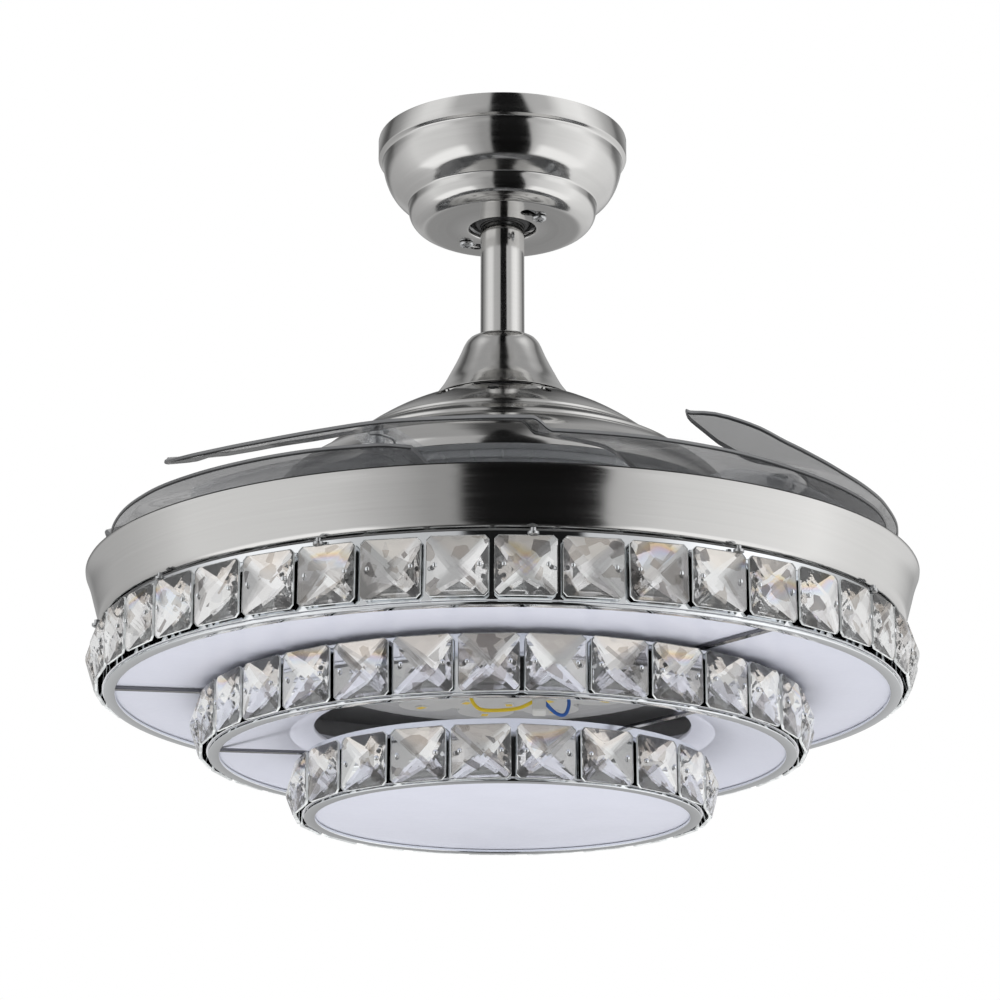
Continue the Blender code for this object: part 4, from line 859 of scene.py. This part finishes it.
def make_blade(k, turn, start):
    """One smoke sheet with its upper edges in a lighter grey as painted light, its lower edges in near-black
    as painted shade, and a bore for its bracket's ring.
    """
    bm = bmesh.new()
    bend = 1.0 if k == 1 else 0.0
    edge_faces = loft_plate(bm, blade_shares(), blade_edges, SHEET,
                            lambda share, radius: blade_height(share, radius, bend), 10, start)
    for finish_index, faces in enumerate(edge_faces, 1):
        for face in faces:
            face.material_index = finish_index
    piece = put(f"blade_sheet_{k + 1}", mesh_from(bm, "blade_sheet"), f"blade_arm_{k + 1}", "smoke_acrylic",
                [finish["smoke_acrylic"], smoke_painted_lit_edge, smoke_painted_shaded_edge], [f"blade_{k + 1}"], 50.0)
    boolean(piece, [mesh_from(peg(BORE_R, 12 * MM, around(turn, PIVOT, ROOT_Z), 40), "bore")])


ARM_FROM, ARM_TO = 0.70, 0.985
ARM_OUTER, ARM_HALF = 0.2245, 1.35 * MM
ARM_LEVEL = ROOT_Z - SHEET - 0.35 * MM - ARM_HALF
arm_shares = [ARM_FROM + (ARM_TO - ARM_FROM) * i / 30 for i in range(31)]


def arm_edges(share):
    near = min((share - ARM_FROM) / 0.03, (ARM_TO - share) / 0.02, 1.0)
    tuck = 5.0 * MM + 7.0 * MM * (1.0 - math.sqrt(max(near, 0.0)))
    return ARM_OUTER - tuck, inner_at(share) * MM + tuck


def line_edges(place, half, at_share=None):
    """The edges of a narrow rib that runs along the arm at a share of the arm's width."""
    def edges(share):
        outer, inner = arm_edges(share if at_share is None else at_share)
        middle = outer + (inner - outer) * place
        return middle + half, middle - half
    return edges


def make_arm(k, turn, start):
    """One clear moulded bracket: its plate, five ribs, a comb of fine ribs and the ring on its pivot."""
    bm = bmesh.new()
    loft_plate(bm, arm_shares, arm_edges, ARM_HALF, lambda s, r: ARM_LEVEL, 8, start)
    for place in (0.10, 0.30, 0.50, 0.70, 0.90):
        loft_plate(bm, arm_shares[1:-1], line_edges(place, 0.9 * MM), 1.5 * MM,
                   lambda s, r: ARM_LEVEL - 2.7 * MM, 1, start)
    for i in range(11):
        comb = line_edges(0.06 + 0.88 * i / 10, 0.35 * MM, 0.76)
        loft_plate(bm, [0.715 + 0.012 * j for j in range(8)], comb, 0.6 * MM,
                   lambda s, r: ARM_LEVEL - 1.8 * MM, 1, start)
    top, foot = carrier_low - CLEAR, ARM_LEVEL + 1.2 * MM
    ring = [(7.0 * MM, top), (7.0 * MM, foot), (4.0 * MM, foot), (4.0 * MM, top)]
    lathe_into(bm, ring, 36, around(turn, PIVOT))
    piece = put(f"arm_{k + 1}", mesh_from(bm, "arm"), f"blade_arm_{k + 1}", "clear_plastic",
                hides=[f"blade_bracket_{k + 1}"])
    pad = peg(6.4 * MM, 8 * MM, around(turn, PIVOT, ARM_LEVEL - 5.6 * MM), 32)
    bore = peg(3.95 * MM, 12 * MM, around(turn, PIVOT, ARM_LEVEL), 32)
    boolean(piece, [mesh_from(pad, "pad"), mesh_from(bore, "arm_bore")])


for k, turn in enumerate(pivot_turns):
    start = FIRST_TIP + math.tau * k / 4
    make_blade(k, turn, start)
    make_arm(k, turn, start)


# Band ring, pan and chassis

BAND_TOP, BAND_LOW = -282.0, -315.7
band_line = mm((236.0, BAND_TOP - 1.6), (236.3, BAND_TOP - 0.6), (237.4, BAND_TOP), (243.4, BAND_TOP),
               (244.5, BAND_TOP - 0.35), (244.95, BAND_TOP - 1.2))
band_line += curve_through(mm((244.8, BAND_TOP - 2.4), (242.3, -291.0), (239.8, -300.0), (237.5, -308.3)), 6)
band_line += curve_through(mm((237.0, -310.2), (236.1, -312.6), (234.6, -314.5), (232.2, -315.5)), 4)
band_line += mm((229.5, -315.7), (224.3, -315.7))
band = lathe("band", shell(band_line, WALL), 256, "pendant", "brushed_nickel", ["band_ring"],
             [finish["brushed_nickel"], band_lip_shade])
# The band's topmost rounding takes the near-black finish: painted shade in place of the lip's own reflection.
for face in band.data.polygons:
    if face.center.z > (BAND_TOP - 1.0) * MM:
        face.material_index = 1

pan_top = BAND_TOP - 1.5
pan_line = rounded(mm((8.3, pan_top), (234.0, pan_top), (224.0, -306.2), (224.0, BAND_LOW),
                      (212.0, BAND_LOW)), 2.5 * MM, closed=False)
lathe("pan", shell(pan_line, WALL), 160, "pendant", "white_steel", ["light_pan"])

chassis_z, dish_z = -324.0, -342.5
chassis_line = rounded(mm((12.0, dish_z), (108.0, dish_z), (116.0, chassis_z), (212.0, chassis_z)), 3.0 * MM,
                       closed=False)
lathe("chassis", shell(chassis_line, -WALL), 160, "pendant", "chrome", ["chassis_plate"], [chassis_mirror])


# Crystal tiers

RIM_R = (232.0, 171.0, 115.0)
COUNT = (42, 31, 21)
TURN = (rad(-91.4), rad(-86.6), rad(-87.1))
FLANGE = (212.0, 150.0, 20.0)
rim_box = [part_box(f"tier_{k + 1}_rim") for k in range(3)]
wall_box = [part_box(f"tier_{k + 1}_crystals") for k in range(3)]
TIER_LOW = [box[0].z / MM for box in rim_box]
TIER_TOP = [box[1].z / MM for box in wall_box]
TALL = (32.2, 31.6, 30.2)
RAISE = (3.4, 1.3, 0.6)
STONE_OUT, STONE_GAP = 0.8, 2.2
TIER_WALL, SEAT = 1.2, 2.3
RIM_HIGH, RIM_WIDE = 2, 6.5
PIN_X, PIN_Y = 6.5, 11.5
SPOKE_IN = (160.0, 97.0)
SPOKE_TURNS = (rad(-171), rad(-51), rad(69))
PANEL, CORNER_WALL, PLAY = 2, 1.5, 0.3


def cut_crystal(bm, matrix, side, tall, rng):
    """One cut crystal facing +X: four broad slopes with narrow bands between them, its back foiled."""
    a, b, clip = side / 2, tall / 2, 2.1
    outline = [(a, b - clip), (a - clip, b), (-a + clip, b), (-a, b - clip),
               (-a, -b + clip), (-a + clip, -b), (a - clip, -b), (a, -b + clip)]

    def level(x, inset=0.0):
        return [bm.verts.new(matrix @ Vector((x * MM, y * (1 - inset / a) * MM, z * (1 - inset / b) * MM)))
                for y, z in outline]

    def point(x, y, z):
        return bm.verts.new(matrix @ Vector((x * MM, y * MM, z * MM)))

    back_rim, low, high, front_rim = level(2.5, 0.5), level(2.9), level(4.3), level(4.7, 0.45)
    slip_y, slip_z = rng.uniform(-0.5, 0.5), rng.uniform(-0.5, 0.5)
    table = [point(10.2, y + slip_y, z + slip_z) for y, z in ((0, 1.5), (-1.5, 0), (0, -1.5), (1.5, 0))]
    heel = [point(0.45, y - slip_y, z - slip_z) for y, z in ((0, 1.1), (-1.1, 0), (0, -1.1), (1.1, 0))]

    def facet(corners, odds, first=0):
        """Adds a face; odds are the shares of its two other finishes, which carry painted reflections in grey
        cells, or on the front a painted band of split light.
        """
        face = bm.faces.new(corners)
        pick = rng.random()
        face.material_index = first + (1 if pick < odds[0] else 2 if pick < odds[0] + odds[1] else 0)

    for i in range(8):
        j = (i + 1) % 8
        facet((back_rim[i], back_rim[j], low[j], low[i]), (0.0, 0.0), 5)
        facet((low[i], low[j], high[j], high[i]), (0.0, 0.0), 5)
        facet((high[i], high[j], front_rim[j], front_rim[i]), (0.0, 0.0))
    # By these odds the front and back facets take the finishes with painted reflections or painted split
    # light.
    for q, odds in enumerate(((0.05, 0.40), (0.30, 0.08), (0.15, 0.05), (0.30, 0.08))):
        facet((front_rim[2 * q + 1], front_rim[(2 * q + 2) % 8], table[q]), odds)
        facet((front_rim[2 * q], front_rim[2 * q + 1], table[q], table[q - 1]), (0.35, 0.0))
        facet((back_rim[2 * q + 1], back_rim[(2 * q + 2) % 8], heel[q]), (0.25, 0.0), 3)
        facet((back_rim[2 * q], back_rim[2 * q + 1], heel[q], heel[q - 1]), (0.35, 0.0), 3)
    facet(table, (0.4, 0.0))
    facet(heel, (0.4, 0.0), 3)


WALL_STEPS = 252
rng = random.Random(7)
for k in range(3):
    apothem = RIM_R[k] + STONE_OUT
    count = COUNT[k]
    outer = apothem + 0.15
    top, low = TIER_TOP[k], TIER_LOW[k]
    wall_low, under, inside = low + SEAT, top - TIER_WALL, outer - TIER_WALL
    bm = bmesh.new()
    made = lathe_into(bm, mm((outer, top), (outer, wall_low), (inside, wall_low), (inside, under),
                             (FLANGE[k], under), (FLANGE[k], top)), WALL_STEPS)
    for face in made[WALL_STEPS:]:
        face.material_index = 1
    put(f"tier_{k + 1}_wall", mesh_from(bm, "wall"), "pendant", "chrome",
        [finish["chrome"], finish["white_steel"]], [f"tier_{k + 1}_crystals"])
    middle_z = (low + RAISE[k] + TALL[k] / 2) * MM
    side = 2 * apothem * math.tan(math.pi / count) - STONE_GAP
    bm, pins = bmesh.new(), bmesh.new()
    for i in range(count):
        turn = TURN[k] + math.tau * (i + 0.5) / count
        tilt = Matrix.Rotation(rad(rng.uniform(-0.9, 0.9)), 4, "X")
        tilt = tilt @ Matrix.Rotation(rad(rng.uniform(-0.5, 0.5)), 4, "Z")
        place = around(turn, apothem * MM, middle_z)
        cut_crystal(bm, place @ tilt, side, TALL[k], rng)
        for y in (-PIN_Y, PIN_Y):
            knob = place @ at(PIN_X * MM, y * MM, 0) @ Matrix.Rotation(rad(90), 4, "Y")
            lathe_into(pins, mm((0, 1.0), (0.8, 0.85), (1.3, 0.35), (1.4, -0.3), (1.4, -1.2), (0, -1.2)), 14,
                       knob, closed=False)
    put(f"tier_{k + 1}_stones", mesh_from(bm, "stones"), "pendant", "crystal",
        [finish["crystal"], crystal_reflection_grey, crystal_fire, foil_reflection_silver, foil_reflection_grey, crystal_side], smooth=1.0)
    put(f"tier_{k + 1}_pins", mesh_from(pins, "pins"), "pendant", "chrome")

    rim = RIM_R[k]
    bm = bmesh.new()
    inside, rim_top = rim - RIM_WIDE, low + RIM_HIGH
    ring = mm((rim, rim_top), (rim, low), (inside, low), (inside, rim_top))
    ring_faces = len(lathe_into(bm, rounded(ring, 0.45 * MM, 3), 256))
    if k < 2:
        inner = SPOKE_IN[k]
        reach = rim - 6.0 - inner
        for turn in SPOKE_TURNS:
            middle = around(turn, (inner + reach / 2) * MM, (low + 1) * MM)
            block((reach * MM, 5.0 * MM, 1.6 * MM), middle, 0.25 * MM, bm)
    bm.faces.ensure_lookup_table()
    for face in bm.faces[ring_faces:]:
        face.material_index = 1
    put(f"tier_{k + 1}_frame", mesh_from(bm, "frame"), "pendant", "chrome", [finish["chrome"], spoke_steel],
        [f"tier_{k + 1}_rim"])

bm = bmesh.new()
BAND_SCREWS, FIRST_SCREW, SCREW_AT = 13, -113.9, 0.2375
for i in range(BAND_SCREWS):
    place = around(rad(FIRST_SCREW + 360 / BAND_SCREWS * i), SCREW_AT)
    top = BAND_LOW * MM
    lathe_into(bm, [(0, top), (1.5 * MM, top), (1.5 * MM, top - 2.2 * MM), (2.9 * MM, top - 2.2 * MM),
                    (2.9 * MM, top - 3.6 * MM), (1.8 * MM, top - 4.4 * MM), (0, top - 4.5 * MM)], 24,
               place, closed=False)
put("band_screws", mesh_from(bm, "band_screws"), "pendant", "zinc_steel")

seat = [low + SEAT for low in TIER_LOW]


def diffuser_edge(k):
    """The radius that stays inside the many-sided wall of the CAD's tier."""
    flat = math.cos(math.pi / COUNT[k])
    return ((RIM_R[k] + STONE_OUT) / flat - CORNER_WALL) * flat - PLAY


edge = diffuser_edge(0)
flat = mm((152, seat[0]), (edge, seat[0]), (edge, seat[0] + PANEL), (152, seat[0] + PANEL))
lathe("panel_1", rounded(flat, 0.5 * MM, 2), 200, "pendant", "opal_acrylic", ["tier_1_diffuser"])
edge = diffuser_edge(1)
dished = rounded(mm((110, seat[1] + 16.5), (edge - 6.5, seat[1]), (edge, seat[1]), (edge, seat[1] + PANEL),
                    (edge - 6.5, seat[1] + PANEL), (110, seat[1] + 16.5 + PANEL)),
                 [size * MM for size in (0.5, 3, 0.4, 0.4, 3, 0.5)])
lathe("panel_2", dished, 200, "pendant", "opal_acrylic", ["tier_2_diffuser"])
edge = diffuser_edge(2)
lathe("panel_3", rounded(mm((0, seat[2]), (edge, seat[2]), (edge, seat[2] + PANEL), (0, seat[2] + PANEL)),
                         [0, 0.5 * MM, 0.5 * MM, 0], 2), 160, "pendant", "opal_acrylic", ["tier_3_diffuser"])


# Light board with its chips, leads and connector

board_low, board_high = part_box("led_board_2")
bm = bmesh.new()
LOBES, LOBE_R, LOBE_AT, FIRST_LOBE = 10, 0.017, 0.064, rad(27.0)
lobe_turns = [FIRST_LOBE + math.tau * i / LOBES for i in range(LOBES)]
lobed = []
for turn in lobe_turns:
    centre = LOBE_AT * Vector((math.cos(turn), math.sin(turn)))
    lobed += [tuple(centre + LOBE_R * Vector((math.cos(a), math.sin(a))))
              for a in (turn + rad(-105 + 210 * j / 18) for j in range(19))]
extruded(bm, [lobed], board_low.z, board_high.z)
put("board_2", mesh_from(bm, "board_2"), "pendant", "board_white", hides=["led_board_2"])
bm, dots = bmesh.new(), bmesh.new()
for ring, shift in ((0.069, 0.0), (0.042, 0.25)):
    for turn in lobe_turns:
        place = around(turn - shift, ring, board_low.z - 0.5 * MM)
        block((6.4 * MM, 5.0 * MM, 0.9 * MM), place, 0.2 * MM, bm)
        block((5.0 * MM, 3.8 * MM, 0.3 * MM), place @ at(0, 0, -0.5 * MM), 0.0, dots)
put("chip_frames", mesh_from(bm, "chip_frames"), "pendant", "white_plastic")
put("chips", mesh_from(dots, "chips"), "pendant", "yellow_wire", [phosphor])

lead_top = board_low.z - CLEAR
yellow = [(-16, 4, lead_top / MM - 1.1), (-18.4, 5, -350.8), (-13.4, 6, -356.8), (-2.0, 6, -357.6),
          (9.8, 5, -356.4), (18.2, 2, -353.2)]
blue = [(24.5, 2, -353.5), (31, 4, -359.6), (36.5, 6, -360.2), (39, 8, -354), (38.5, 10, lead_top / MM - 1.1)]
for name, route, node in (("yellow", yellow, "yellow_lead"), ("blue", blue, "blue_lead")):
    bm = bmesh.new()
    sweep_into(bm, [tuple(c * MM for c in p) for p in curve_through(route, 6)], 1.1 * MM, 12)
    put(f"{name}_wire_run", mesh_from(bm, name), "pendant", f"{name}_wire", hides=[node])
low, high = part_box("lead_connector")
middle = (low + high) / 2
place = at(*(middle + Vector((-2.6, 5.0, -6.0)) * MM)) @ Matrix.Rotation(rad(62), 4, "X")
bm = block(high - low, place, 0.5 * MM)
put("connector_shell", mesh_from(bm, "connector"), "pendant", "white_plastic", hides=["lead_connector"])


# The CAD nodes that no piece replaces take the same finishes

PLAIN = {
    "zinc_steel": ("hanger_bracket", "hanger_pin", "coupling_bolt", "motor_shaft", "upper_bearing",
                   "lower_bearing", "shaft_nut", "chassis_post_1", "chassis_post_2", "chassis_post_3"),
    "cast_alloy": ("motor_yoke", "rotor_top", "rotor_base"),
    "laminations": ("stator_core",),
    "copper_wire": ("stator_winding",),
    "white_plastic": ("led_driver", "remote_receiver"),
    "board_white": ("led_board_1", "led_board_3")}
slot_of = {name: slot for slot, names in PLAIN.items() for name in names}
for name, piece in nodes.items():
    if not piece.hide_render:
        piece.data.materials.clear()
        piece.data.materials.append(finish[slot_of[name]])

scene.view_settings.view_transform = "Standard"
